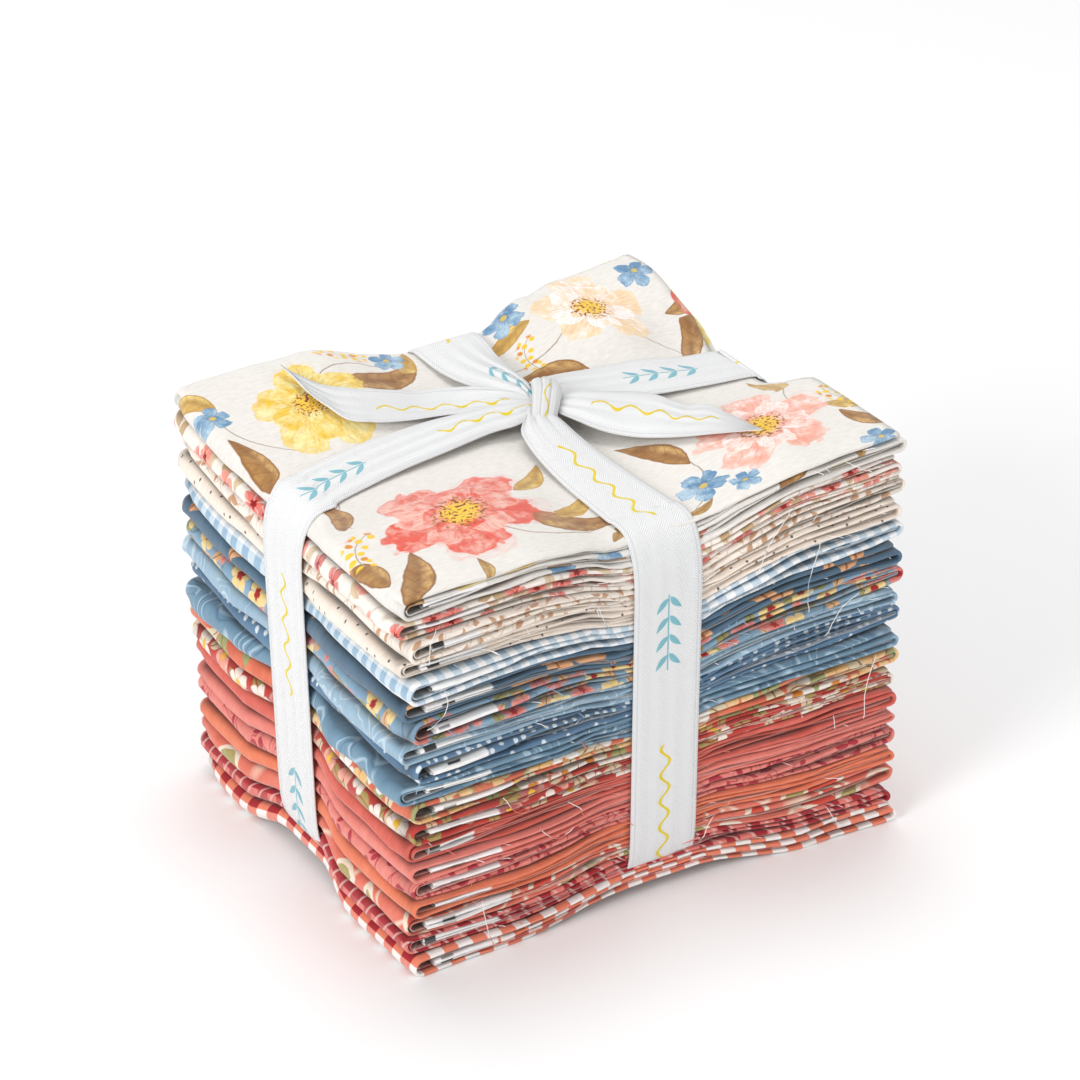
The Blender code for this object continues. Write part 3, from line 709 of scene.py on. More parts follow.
# The top cloth's print, one row for each thing on it, as seen from above, the lowest first.
# The columns are: kind, x and y in mm, half its size in mm, turn in degrees.
PRINT_REPEAT = (236.0, 204.0)
TOP_PRINT = (
    ("stem", -30, -62, 22, 160), ("stem", -82, -8, 18, 70), ("stem", 30, -58, 18, 250), ("stem", 82, -24, 16, 40),
    ("stem", 36, 46, 20, 200), ("stem", 78, 24, 14, 300), ("stem", -32, 66, 20, 10), ("stem", -84, 40, 15, 120),
    ("brown leaf", -19, -57, 19, -28), ("brown leaf", -80, -66, 16, 58), ("brown leaf", -84, -14, 13, 100),
    ("ochre leaf", -16, -26, 11, 40), ("brown leaf", 27, -33, 14, 120), ("ochre leaf", 82, -20, 12, 65),
    ("brown leaf", 88, -62, 11, -50), ("brown leaf", 30, 34, 17, 150), ("ochre leaf", 24, 62, 12, 200),
    ("brown leaf", 86, 30, 15, 70), ("brown leaf", -24, 56, 18, 20), ("ochre leaf", -26, 36, 11, -30),
    ("brown leaf", -88, 30, 12, 80), ("ochre leaf", -90, 66, 11, 130), ("brown leaf", -118, -50, 13, 20),
    ("ochre leaf", -12, -48, 12, 25), ("brown leaf", -90, -54, 11, 105), ("ochre leaf", 40, 24, 12, 175),
    ("ochre leaf", 90, -50, 10, -10), ("ochre leaf", -14, 64, 12, 60), ("brown leaf", 92, 44, 10, 20),
    ("coral bloom", -50, -38, 31, 20), ("yellow bloom", -56, 47, 22, 60),
    ("blush bloom", 58, -46, 25, 200), ("pale bloom", 58, 54, 24, 120), ("coral bloom", -128, 46, 22, 80),
    ("small leaf", -8, -70, 6, 60), ("small leaf", 22, -72, 6, 20), ("small leaf", 90, 4, 6, 150),
    ("small leaf", -60, -72, 6, 80), ("small leaf", -92, 6, 6, 15), ("small leaf", 40, 26, 6, 50),
    ("blue flower", 28, -60, 8, 30), ("blue flower", 38, -68, 5, 80), ("blue flower", 84, -74, 6, 10),
    ("blue flower", 84, 64, 7, 45), ("blue flower", 30, 72, 8, 10), ("blue flower", -18, 70, 6, 70),
    ("blue flower", -88, 54, 6, 0), ("blue flower", -122, -8, 7, 20),
    ("bud spray", -88, -40, 10, 60), ("bud spray", 88, -44, 9, 110), ("bud spray", 26, 50, 9, 70),
    ("bud spray", -34, 72, 9, 160),
)
# The colours of each kind of bloom and leaf: the main one, the light one and the deep one.
TONES = {
    "coral bloom": ((0.78, 0.10, 0.06), (0.89, 0.52, 0.43), (0.50, 0.015, 0.01)),
    "blush bloom": ((0.84, 0.42, 0.32), (0.92, 0.84, 0.79), (0.76, 0.14, 0.08)),
    "yellow bloom": ((0.83, 0.54, 0.03), (0.89, 0.80, 0.38), (0.58, 0.22, 0.02)),
    "pale bloom": ((0.86, 0.66, 0.42), (0.92, 0.89, 0.86), (0.78, 0.34, 0.18)),
    "brown leaf": ((0.34, 0.16, 0.05), (0.70, 0.44, 0.17), (0.20, 0.08, 0.03)),
    "ochre leaf": ((0.56, 0.33, 0.08), (0.82, 0.62, 0.22), (0.34, 0.18, 0.05)),
    "small leaf": ((0.42, 0.24, 0.08), (0.74, 0.52, 0.22), (0.24, 0.11, 0.04)),
}
# How many times narrower than long each kind of thing is.
NARROW = {"bloom": 1.2, "leaf": 2.3, "blue": 1.0, "stem": 2.6, "bud": 1.6}


def note_the_print(mesh):
    """Gives each face's corners their place from the nearest thing of each kind, turned with it, and its tones."""
    flat = np.empty(len(mesh.loops) * 2)
    mesh.uv_layers["flat_cloth"].data.foreach_get("uv", flat)
    flat = flat.reshape(-1, 4, 2) * 1000
    middle = flat.mean(axis=1)
    for layer, narrow in NARROW.items():
        nearest = np.full(len(flat), np.inf)
        place = np.zeros((len(flat), 4, 3))
        tones = np.ones((3, len(flat), 4, 4))
        for number, (kind, x, y, size, turn) in enumerate(TOP_PRINT):
            if layer not in kind:
                continue
            off = middle - (x, y)
            off = off - np.round(off / PRINT_REPEAT) * PRINT_REPEAT
            turned = math.radians(-turn)
            spin = np.array([[math.cos(turned), math.sin(turned)], [-math.sin(turned), math.cos(turned)]])
            far = np.hypot(*((off @ spin) * (1, narrow)).T) / size
            take = far < nearest
            nearest[take] = far[take]
            place[take, :, :2] = ((flat[take] - middle[take, None] + off[take, None]) @ spin) / size
            place[take, :, 2] = number
            for tone, colour in zip(tones, TONES.get(kind, ())):
                tone[take, :, :3] = colour
        noted = mesh.attributes.new(layer + "_place", "FLOAT_VECTOR", "CORNER")
        noted.data.foreach_set("vector", place.ravel())
        if layer in ("bloom", "leaf"):
            for name, tone in zip(("_main", "_light", "_deep"), tones):
                noted = mesh.attributes.new(layer + name, "FLOAT_COLOR", "CORNER")
                noted.data.foreach_set("color", tone.ravel())


def pushed(cotton, place, stretch, push, by):
    """The place on a thing, stretched across and pushed about as the painted edges are."""
    local = cotton.vectors("MULTIPLY", place, (1.0, stretch, 0.0))
    return cotton.vectors("ADD", local, cotton.scaled(push, by))


def petal_ring(cotton, local, wash, size, petals, turn, tones, depth, seed):
    """One ring of painted petals, each of its own length and tone, laid over the colour below it."""
    main, light, deep = tones
    x, y = cotton.parts(local)
    out = cotton.length(local)
    angle = cotton.maths("ARCTAN2", y, x)
    place = angle.line(petals / (2 * math.pi), 40.0 + turn)
    number = cotton.maths("FLOOR", place)
    off = abs((place - number - 0.5) * 2.0)
    around = cotton.maths("WRAP", number, 40.0 + petals, 40.0)
    seed = cotton.maths("MULTIPLY_ADD", seed, 17.0, around)
    luck = cotton.new("ShaderNodeTexWhiteNoise", {"W": seed}, noise_dimensions="1D")[0]
    lobes = cotton.mottle(cotton.together(luck.line(9.0, angle), out), 0.30)
    reach = luck.line(0.26 * size, 0.64 * size) + lobes * (0.34 * size)
    reach = reach * cotton.maths("POWER", off, 3.4).line(-0.50, 1.0)
    shape = cotton.within(out, reach, 0.02)
    outward = cotton.maths("DIVIDE", out, reach, keep=True)
    streak = cotton.mottle(cotton.together(angle * 5.0, outward), 0.34, detail=4.0, rough=0.65)
    pale = wash * 1.9 + luck * 0.55
    tone = cotton.over(main, light, pale.ramp(1.9, -1.95))
    tone = cotton.over(tone, deep, streak.ramp(5.0, -2.3) * outward.line(-0.62, 0.85))
    tone = cotton.over(tone, deep, outward.ramp(-2.6, depth) * 0.85)
    tone = cotton.over(tone, deep, off.ramp(5.0, -4.0) * wash.line(0.9, 0.0))
    tone = cotton.over(tone, main, outward.ramp(11.0, -10.1) * 0.9)
    cotton.ink(tone, shape)


def print_blooms(cotton, push, wash):
    """The full flowers: three rings of petals, one over the other, and their stamens."""
    place = cotton.noted("bloom_place")
    number = cotton.new("ShaderNodeSeparateXYZ", {0: place})[2]
    local = pushed(cotton, place, 1.2, push, 0.035)
    main, light, deep = (cotton.noted("bloom" + name, 0) for name in ("_main", "_light", "_deep"))
    for size, petals, turn, tones, depth in (
            (1.06, 5, 0.15, (main, light, deep), 0.9),
            (0.76, 5, 0.62, (light, main, deep), 1.1),
            (0.46, 6, 0.30, (main, light, deep), 1.5)):
        petal_ring(cotton, local, wash, size, petals, turn, tones, depth, number)
    out = cotton.length(local)
    fine = cotton.mottle(local, 0.055)
    cotton.ink((0.86, 0.56, 0.05), cotton.within(out, fine.line(0.46, 0.02), 0.03))
    cotton.ink((0.25, 0.04, 0.02), cotton.both(fine.ramp(14.0, -7.6), cotton.within(out, 0.34, 0.12)))


def print_leaves(cotton, push, wash):
    """The pointed leaves: one half darker, a dark vein and side veins, and a darker rim."""
    local = pushed(cotton, cotton.noted("leaf_place"), 1.0, push, 0.032)
    dark, light, line = (cotton.noted("leaf" + name, 0) for name in ("_main", "_light", "_deep"))
    shape, vein = cotton.leaf(local, 1.0, 0.31, 0.24, 0.025)
    inner = cotton.leaf(local, 0.95, 0.265, 0.24, 0.04)[0]
    x, y = cotton.parts(local)
    tone = cotton.over(dark, light, wash.ramp(3.4, -1.3))
    tone = cotton.over(tone, dark, y.ramp(9.0, 0.3) * 0.55)
    ribs = cotton.maths("SINE", abs(y).line(-20.0, x * 20.0)).ramp(3.0, -2.2)
    tone = cotton.over(tone, line, ribs * 0.4)
    tone = cotton.over(tone, line, vein * 0.85)
    cotton.ink(cotton.over(dark, line, 0.3), shape)
    cotton.ink(tone, inner)


def print_stems(cotton, name, push, ink, width):
    """Thin painted stems, bowed, ending softly. Gives a place on the stem, and how near its line and end that is."""
    local = pushed(cotton, cotton.noted(name), 1.0, push, 0.03)
    x, y = cotton.parts(local)
    bow = abs((x * x).line(0.35, y))
    end = cotton.within(abs(x), 1.0, 0.1)
    cotton.ink(ink, cotton.both(cotton.within(bow, width, 0.016), end) * 0.85)
    return local, bow, end


def cream_floral(cotton):
    cotton.ground((0.785, 0.755, 0.715), (0.765, 0.73, 0.68), 60.0)
    where = cotton.soft_offset(cotton.cloth, 9.0, 1.7)
    where = cotton.soft_offset(where, 2.6, 0.35)
    push = cotton.vectors("SUBTRACT", where, cotton.cloth)
    wash = cotton.mottle(where, 6.5, detail=5.0, rough=0.62)
    print_stems(cotton, "stem_place", push, (0.34, 0.24, 0.15), 0.014)
    print_leaves(cotton, push, wash)
    print_blooms(cotton, push, wash)
    local = pushed(cotton, cotton.noted("blue_place"), 1.1, push, 0.10)
    tones = ((0.13, 0.28, 0.46), (0.48, 0.64, 0.76), (0.05, 0.10, 0.20))
    petal_ring(cotton, local, wash, 1.15, 5, 0.4, tones, 0.9, 3.0)
    cotton.ink((0.62, 0.46, 0.12), cotton.within(cotton.length(local), 0.17, 0.06))
    local, bow, end = print_stems(cotton, "bud_place", push, (0.40, 0.32, 0.20), 0.02)
    local, chance = cotton.scattered(local, 0.36, 0.2)[:2]
    bud = cotton.within(cotton.length(local), 0.12, 0.04)
    tone = cotton.over((0.84, 0.56, 0.04), (0.72, 0.26, 0.03), chance > 0.6)
    cotton.ink(tone, cotton.both(bud, cotton.both(cotton.within(bow, 0.38, 0.1), end)))


CREAM_FAT_QUARTERS = (
    ("cream_speck", 0.98, (-0.5, 0.6), -0.4, 0.6, 0.4, 0.3, dots, (0.88, 0.76, 0.65), (0.91, 0.81, 0.72), 12.0,
     (0.10, 0.09, 0.09), 5.5, 0.4, 0.42, 0.25),
    ("cream_tan", 0.96, (0.8, -0.6), 0.3, 0.7, -0.4, 0.3, cream_tan),
    ("cream_berry", 1.00, (-0.6, 0.3), -0.3, 0.6, 0.9, 0.3, small_garden, (0.91, 0.85, 0.79), (0.89, 0.80, 0.72),
     11.0, 3.9, ((0.76, 0.06, 0.03), (0.84, 0.20, 0.12), (0.60, 0.04, 0.02)), (0.30, 0.01, 0.01),
     ((0.56, 0.38, 0.20), (0.70, 0.54, 0.36)), (0.55, 0.42, 0.30), 0.7),
)
lay_fat_quarters(CREAM_FAT_QUARTERS)
TOP_FAT_QUARTER = (("cream_floral", 1.02, (0.2, 0.5), 0.2, 0.5, 0.3, 0.3, cream_floral),)
lay_fat_quarters(TOP_FAT_QUARTER, 2.0, note_the_print)


# The tape that ties the bundle: one length of white cotton twill tape, 25 mm wide.
# It goes round the stack lengthwise and crosswise, is knotted where the turns cross on top, and its two cut
# ends lie over the top cloth.
STRAIGHT = {"turn": 0.0, "shift": (0.0, 0.0)}
TAPE_HALF = 0.0127
TAPE = 0.0007
TAPE_ABOVE = 0.0005
TAPE_UNDER = 0.0009
COLUMNS_ACROSS = 29
tape_strips = []

# The runs of the tape over the top cloth, one row for each place along them, in mm from the crossing.
# The columns are: x, y and height over the top cloth of the far edge, the same of the near edge, how far the
# tape's middle is bowed up, and how deep its pleats are.
LENGTHWISE_RUN = (
    (84, 14.4, 0.9, 84, -10.8, 0.9, 0.0, 0.0), (68, 15.6, 1.2, 66, -9.0, 1.2, 0.2, 0.0),
    (50, 17.6, 2.2, 45, -6.0, 2.0, 0.5, 0.1), (35, 19.2, 3.4, 30, -4.0, 3.0, 0.8, 0.25),
    (21, 19.6, 5.2, 15, -2.4, 4.6, 1.2, 0.6), (12, 16.4, 7.4, 8.6, -3.0, 6.2, 1.4, 0.9),
    (6, 10.0, 8.0, 4.6, -2.6, 7.0, 0.8, 0.8), (0, 6.6, 7.4, -1.6, -3.6, 6.8, 0.6, 0.7),
    (-7, 9.0, 6.0, -10.4, -3.8, 5.0, 1.2, 0.8), (-15, 13.4, 4.6, -19.0, -1.6, 3.8, 1.5, 0.6),
    (-31, 17.2, 3.2, -36.6, -3.2, 2.8, 1.0, 0.3), (-49, 17.8, 2.2, -53.2, -4.6, 2.0, 0.5, 0.1),
    (-68, 16.4, 1.2, -69.4, -7.4, 1.1, 0.2, 0.0), (-84, 14.0, 0.9, -84, -11.2, 0.9, 0.0, 0.0),
)
CROSSWISE_RUN = (
    (12.6, 66, 0.9, -12.6, 66, 0.9, 0.0, 0.0), (13.0, 56, 1.3, -11.6, 52, 1.3, 0.3, 0.0),
    (10.4, 45, 3.4, -9.4, 38, 2.8, 1.4, 0.3), (7.6, 31, 6.4, -5.6, 22, 4.8, 2.6, 0.8),
    (6.0, 19, 7.6, -0.4, 10, 6.6, 1.4, 0.8), (4.6, 6, 7.0, -3.0, 2, 6.4, 0.6, 0.6),
    (2.0, -5, 7.2, -8.6, -5, 6.6, 0.9, 0.6), (2.4, -12, 6.0, -12.0, -9, 5.0, 2.2, 0.5),
    (3.4, -20, 4.4, -13.6, -17, 3.4, 2.0, 0.3), (5.2, -30, 2.8, -14.2, -28, 2.2, 1.1, 0.15),
    (7.6, -42, 1.6, -13.8, -41, 1.4, 0.5, 0.05), (9.4, -53, 1.1, -13.4, -53, 1.0, 0.2, 0.0),
    (11.6, -66, 0.9, -13.2, -66, 0.9, 0.0, 0.0),
)
LEFT_END = (
    (1, 7.4, 7.6, -1.6, 1.0, 6.8, 0.4, 0.5), (-3, 19, 6.8, -7, 7, 5.8, -1.6, 0.8),
    (-11, 29, 5.2, -15, 12.6, 4.4, -2.4, 0.5), (-21, 34, 4.0, -25, 17.6, 3.6, -2.2, 0.3),
    (-34, 36, 3.2, -37, 20.8, 3.0, -1.6, 0.1), (-46, 39.4, 2.8, -48, 24, 2.8, -1.0, 0.0),
    (-55, 45, 3.0, -57, 29, 2.6, -0.6, 0.0), (-60, 53, 3.2, -61, 42, 2.6, -0.2, 0.0),
    (-62.4, 61, 3.4, -62.5, 60.6, 3.4, 0.0, 0.0),
)
RIGHT_END = (
    (7, 2, 7.4, 3.0, -4.6, 6.8, 0.4, 0.5), (15, 1.4, 7.6, 6.4, -13, 6.0, 1.8, 0.9),
    (24, -0.6, 6.2, 11, -20.6, 4.8, 2.2, 0.7), (34, -4, 4.6, 18.4, -28, 3.6, 1.6, 0.4),
    (41, -10, 3.6, 25, -34.6, 3.0, 1.0, 0.2), (43.6, -22, 3.2, 31, -40, 2.6, 0.7, 0.1),
    (45.6, -35, 2.8, 38, -46, 2.2, 0.4, 0.0), (48.2, -48, 2.2, 44.6, -51.8, 2.0, 0.1, 0.0),
    (49.9, -56.2, 2.0, 49.8, -56.4, 2.0, 0.0, 0.0),
)
# The wrap of the knot, which runs over the crossing from the back right to the front left.
KNOT_WRAP = (
    (8.0, 17.0, 1.4, 14.6, 11.4, 1.0, 0.6, 0.2), (6.0, 15.4, 7.4, 13.6, 9.4, 6.6, 1.4, 0.4),
    (3.4, 10.4, 10.2, 11.4, 4.4, 9.4, 2.4, 0.5), (0.4, 4.6, 11.2, 8.6, -0.6, 10.2, 2.6, 0.5),
    (-2.8, -0.6, 10.4, 5.4, -4.8, 9.6, 2.4, 0.5), (-5.4, -4.4, 8.0, 2.2, -8.2, 7.2, 1.8, 0.5),
    (-6.4, -6.4, 4.4, 0.6, -9.8, 3.8, 1.0, 0.3), (-6.2, -6.4, 1.4, 0.4, -9.6, 1.2, 0.6, 0.2),
)


def through(table, count):
    """A smooth line through the rows of a table, as count places."""
    rows = np.array(table, dtype=float)
    rows = np.concatenate([[2 * rows[0] - rows[1]], rows, [2 * rows[-1] - rows[-2]]])
    spans = len(rows) - 3
    out = []
    for place in np.linspace(0, spans, count):
        k = min(int(place), spans - 1)
        t = place - k
        a, b, c, d = rows[k:k + 4]
        bend = (2 * a - 5 * b + 4 * c - d) * t * t + (3 * b - a - 3 * c + d) * t ** 3
        out.append(0.5 * (2 * b + (c - a) * t + bend))
    return np.array(out)


def over_the_top(table, count, level=None):
    """The far edge, the near edge, the bow and the pleats of a run, from its table."""
    rows = through(table, count) * 0.001
    edges = []
    for x, y, above in (rows[:, 0:3].T, rows[:, 3:6].T):
        px, py = x + CROSSWISE_X, y + LENGTHWISE_Y
        top = crown(px, py) if level is None else np.full(len(x), level)
        edges.append(np.stack([px + MIDDLE[0], py + MIDDLE[1], top + above], 1))
    return edges[0], edges[1], rows[:, 6], rows[:, 7]


def round_the_side(u, share, lengthwise):
    """The tape's two edges where it lies flat on the stack's sides and under it."""
    if lengthwise:
        x, y, out = u, np.full(len(u), LENGTHWISE_Y), (0.0, TAPE_HALF, 0.0)
    else:
        x, y, out = np.full(len(u), CROSSWISE_X), u, (TAPE_HALF, 0.0, 0.0)
    line = settle(x, y, share, STRAIGHT)
    step = np.gradient(line, axis=0)
    across = 0 if lengthwise else 1
    away = np.zeros_like(line)
    away[:, across], away[:, 2] = step[:, 2], -step[:, across]
    away /= np.linalg.norm(away, axis=1, keepdims=True)
    line = line + away * np.where(share < 0.001, TAPE_UNDER, TAPE_ABOVE + TAPE / 2)[:, None]
    flat = np.zeros(len(line))
    return line + np.array(out), line - np.array(out), flat, flat


def tape_strip(far, near, bow, pleat, closed, start):
    """A strip of tape between its two edges, bowed up and pleated, as rows of points."""
    across = np.linspace(1, -1, COLUMNS_ACROSS)
    nearer, farther = (0.5 - across / 2)[None, :, None], (0.5 + across / 2)[None, :, None]
    middle = near[:, None] * nearer + far[:, None] * farther
    centre = (far + near) / 2
    step = np.roll(centre, -1, 0) - np.roll(centre, 1, 0) if closed else np.gradient(centre, axis=0)
    up = np.cross(far - near, step)
    up /= np.maximum(np.linalg.norm(up, axis=1, keepdims=True), 1e-9)
    up *= np.sign(up[len(up) // 4, 2])
    wave = np.sin(math.pi * (3.4 * across + 0.4)) + 0.5 * np.sin(math.pi * (7.3 * across + 1.1))
    lift = bow[:, None] * (1 - across ** 2) + pleat[:, None] * 0.6 * wave * (1 - 0.5 * across ** 4)
    middle = middle + up[:, None] * lift[..., None]
    steps = np.linalg.norm(np.diff(centre, axis=0), axis=1)
    length = start + np.concatenate([[0], np.cumsum(steps)])
    tape_strips.append((middle, across, length, closed))


def tape_band(table, half, lengthwise, start):
    """One turn of the tape: over the top, down one side, under the stack and up the other side."""
    at, crossing = (0, CROSSWISE_X) if lengthwise else (1, LENGTHWISE_Y)
    last, first = (row[at] * 0.001 + crossing for row in (table[-1], table[0]))
    top = over_the_top(table, 150)
    corner, under = np.linspace(0, 1, 12), np.linspace(0, 1, 30)
    down = 1 - np.linspace(0, 1, 41)[1:-1] ** 1.3
    upright = np.full(len(down), half)
    u = np.concatenate([between((last, -half), corner)[1:], -upright, between((-half, half), under),
                        upright, between((half, first), corner)[:-1]])
    edge = np.ones(len(corner) - 1)
    share = np.concatenate([edge, down, np.zeros(len(under)), down[::-1], edge])
    sides = round_the_side(u, share, lengthwise)
    far, near, bow, pleat = (np.concatenate([one, two]) for one, two in zip(top, sides))
    for _ in range(10):
        far, near = ((np.roll(edge, 1, 0) + 2 * edge + np.roll(edge, -1, 0)) / 4 for edge in (far, near))
    tape_strip(far, near, bow, pleat, True, start)


tape_band(LENGTHWISE_RUN, HALF_LONG, True, 0.066)
tape_band(CROSSWISE_RUN, HALF_SHORT, False, 0.7)
tape_strip(*over_the_top(LEFT_END, 90), False, 1.30)
tape_strip(*over_the_top(RIGHT_END, 90), False, 1.426)
knot_level = float(crown(np.float64(CROSSWISE_X), np.float64(LENGTHWISE_Y)))
tape_strip(*over_the_top(KNOT_WRAP, 60, knot_level), False, 1.55)


def tape_mesh(name):
    """All the strips of the tape in one mesh, each a thin closed shell. Its UV map is the flat tape, in metres."""
    points, faces, flat, count = [], [], [], 0
    for middle, across, length, closed in tape_strips:
        rows, columns = middle.shape[:2]
        along = np.roll(middle, -1, 0) - np.roll(middle, 1, 0) if closed else np.gradient(middle, axis=0)
        out = np.cross(along, np.gradient(middle, axis=1))
        out /= np.maximum(np.linalg.norm(out, axis=-1, keepdims=True), 1e-12)
        thick = TAPE / 2 * (1 - 0.35 * np.abs(across) ** 8)
        for side in (1, -1):
            points.append((middle + side * out * thick[None, :, None]).reshape(-1, 3))
            u, v = np.meshgrid(length, across * TAPE_HALF, indexing="ij")
            flat.append(np.stack([u.ravel(), v.ravel()], 1))
        grid = np.arange(rows * columns).reshape(rows, columns) + count
        other = grid + rows * columns
        if closed:
            grid, other = np.vstack([grid, grid[:1]]), np.vstack([other, other[:1]])
        for side, order in ((grid, (0, 1, 2, 3)), (other, (0, 3, 2, 1))):
            corners = side[:-1, :-1], side[1:, :-1], side[1:, 1:], side[:-1, 1:]
            faces.append(np.stack([corners[k].ravel() for k in order], 1))
        edges = [(grid[:, 0], other[:, 0], True), (grid[:, -1], other[:, -1], False)]
        if not closed:
            edges += [(grid[0], other[0], False), (grid[-1], other[-1], True)]
        for one, two, flip in edges:
            corners = (two[:-1], two[1:], one[1:]) if flip else (one[1:], two[1:], two[:-1])
            faces.append(np.stack([*corners, one[:-1]], 1))
        count += 2 * rows * columns
    return cloth_mesh(name, np.concatenate(points), np.concatenate(faces), np.concatenate(flat))


# The tape's print, in mm along it: a leaf sprig and a wavy line in turn.
TAPE_REPEAT = 130.0
SPRIG_AT = -34.0
SPRIG_HALF = 14.0
SPRIG_STEP = 7.0
SPRIG_TEAL = (0.10, 0.46, 0.56)
WAVE_AT = 31.0
WAVE_HALF = 23.0
WAVE_YELLOW = (0.85, 0.66, 0.01)


def twill(cotton):
    """White herringbone twill with firm woven edges, printed now and then with a leaf sprig or a wavy line."""
    along, across = cotton.along, cotton.across
    folded = cotton.maths("PINGPONG", across, 3.2)
    diagonal = cotton.maths("SINE", (along + folded) * (2 * math.pi / 0.95))
    threads = cotton.maths("SINE", across * (2 * math.pi / 0.45))
    border = cotton.within(abs(12.7 - abs(across) - 1.5), 0.22, 0.2)
    cotton.colour = (0.92, 0.92, 0.925)
    cotton.ink((0.76, 0.77, 0.78), diagonal.line(0.35, 0.35))
    cotton.ink((0.66, 0.67, 0.70), border * 0.6)
    run = cotton.maths("WRAP", along, TAPE_REPEAT / 2, -TAPE_REPEAT / 2)
    from_sprig = run + -SPRIG_AT
    on_sprig = cotton.within(abs(from_sprig), SPRIG_HALF, 0.3)
    step = cotton.maths("WRAP", from_sprig, SPRIG_STEP, 0.0)
    for side in (1, -1):
        local = cotton.vectors("SUBTRACT", cotton.together(step, across), (SPRIG_STEP * 0.5, side * 2.5, 0.0))
        leaf = cotton.leaf(cotton.turned(local, math.radians(side * -42)), 3.3, 1.05, 0.1, 0.3)[0]
        cotton.ink(SPRIG_TEAL, cotton.both(leaf, on_sprig) * 0.85)
    cotton.ink(SPRIG_TEAL, cotton.both(cotton.within(abs(across), 0.28, 0.25), on_sprig) * 0.85)
    wave = across - cotton.maths("SINE", along * 0.62) * 1.7
    on_wave = cotton.within(abs(run + -WAVE_AT), WAVE_HALF, 0.5)
    cotton.ink(WAVE_YELLOW, cotton.both(cotton.within(abs(wave), 0.62, 0.35), on_wave))
    handle = cotton.mottle(cotton.cloth, 9.0, detail=3.0)
    height = diagonal * 0.00014 + threads * 0.00003 + handle * 0.0004 - border * 0.0001
    return cotton.surface(cotton.colour, diagonal.line(0.06, 0.72), height, 0.3, (0.25, 0.5))


mesh = tape_mesh("ribbon_tape")
mesh.materials.append(twill(Cotton("twill_tape_cotton")))
ribbon = in_scene("ribbon_tape", mesh)
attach(ribbon, "root")
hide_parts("ribbon")


# The loose yarn at the cut edges.
# Short ends of warp and weft that fray where the cotton was cut, and a few long threads that hang on the stack.
YARN = 0.00013
FRAYED_ENDS = 300
CORAL_TOP = 0.071
BLUE_TOP = 0.114
# The long threads. The columns are: side, place along it, height and length in mm, turn in degrees, curl in mm.
LONG_THREADS = (
    ("front", 48, 132, 22, 118, 3.0), ("front", 60, 116, 26, 96, 4.0), ("front", -22, 124, 14, 60, 2.0),
    ("front", 76, 92, 18, 140, 3.0), ("front", 84, 66, 24, 100, 4.0), ("front", -58, 60, 12, 30, 2.0),
    ("front", -66, 22, 20, 75, 2.5), ("front", -84, 96, 14, -70, 3.0), ("front", -44, 44, 13, 20, 2.0),
    ("front", 30, 26, 16, 130, 3.0), ("front", 66, 14, 12, 50, 2.0), ("front", -80, 132, 12, 110, 2.5),
    ("back", -50, 118, 20, 80, 3.0), ("back", 34, 84, 24, 110, 4.0), ("back", 70, 30, 16, 60, 3.0),
    ("right", -40, 120, 18, 100, 3.0), ("right", 46, 70, 22, 70, 3.0), ("right", -20, 36, 14, 120, 2.0),
)


def on_the_side(side, along, share):
    """A place just outside a side of the stack, and the way outward."""
    if side == "right":
        x, y, out = HALF_LONG, along, (1.0, 0.0, 0.0)
    else:
        away = 1.0 if side == "back" else -1.0
        x, y, out = along, away * HALF_SHORT, (0.0, away, 0.0)
    place = settle(np.float64(x), np.float64(y), np.float64(share), STRAIGHT)
    return Vector(place), Vector(out)


def yarn_lines():
    """The paths of all the loose yarn, as short runs of points."""
    chance = np.random.default_rng(19)
    lines = []
    for side, along, height, length, turn, curl in LONG_THREADS:
        start, out = on_the_side(side, along * 0.001, height * 0.001 / STACK_HEIGHT)
        across = Vector((0, 0, 1)).cross(out)
        way = across * math.cos(math.radians(turn)) + Vector((0, 0, -1)) * math.sin(math.radians(turn))
        beside = way.cross(out)
        line = []
        for k in range(13):
            t = k / 12
            bow = math.sin(math.pi * t) * curl * 0.001 + math.sin(4 * t + along) * 0.0008
            off = 0.0004 + 0.0016 * math.sin(math.pi * t) ** 0.5
            line.append(start + way * (t * length * 0.001) + beside * bow + out * off)
        lines.append(line)
    for _ in range(FRAYED_ENDS):
        side = ("front", "front", "back", "right")[chance.integers(4)]
        along = chance.uniform(-0.068, 0.068) if side == "right" else chance.uniform(-0.088, 0.088)
        start, out = on_the_side(side, along, chance.uniform(0.02, 0.99))
        start = start - out * 0.0012
        across = Vector((0, 0, 1)).cross(out)
        length, tilt, curl = chance.uniform(0.0015, 0.0052), chance.normal(0, 0.9), chance.normal(0, 0.0007)
        if abs(along - (LENGTHWISE_Y if side == "right" else CROSSWISE_X)) < 0.016:
            continue
        line = []
        for k in range(6):
            t = k / 5
            drop = math.sin(tilt) * length * 0.6 * t - 0.0006 * t * t
            aside = length * t * math.cos(tilt) + curl * t * t
            line.append(start + out * (length * t * 0.7) + across * aside + Vector((0, 0, drop)))
        lines.append(line)
    return lines


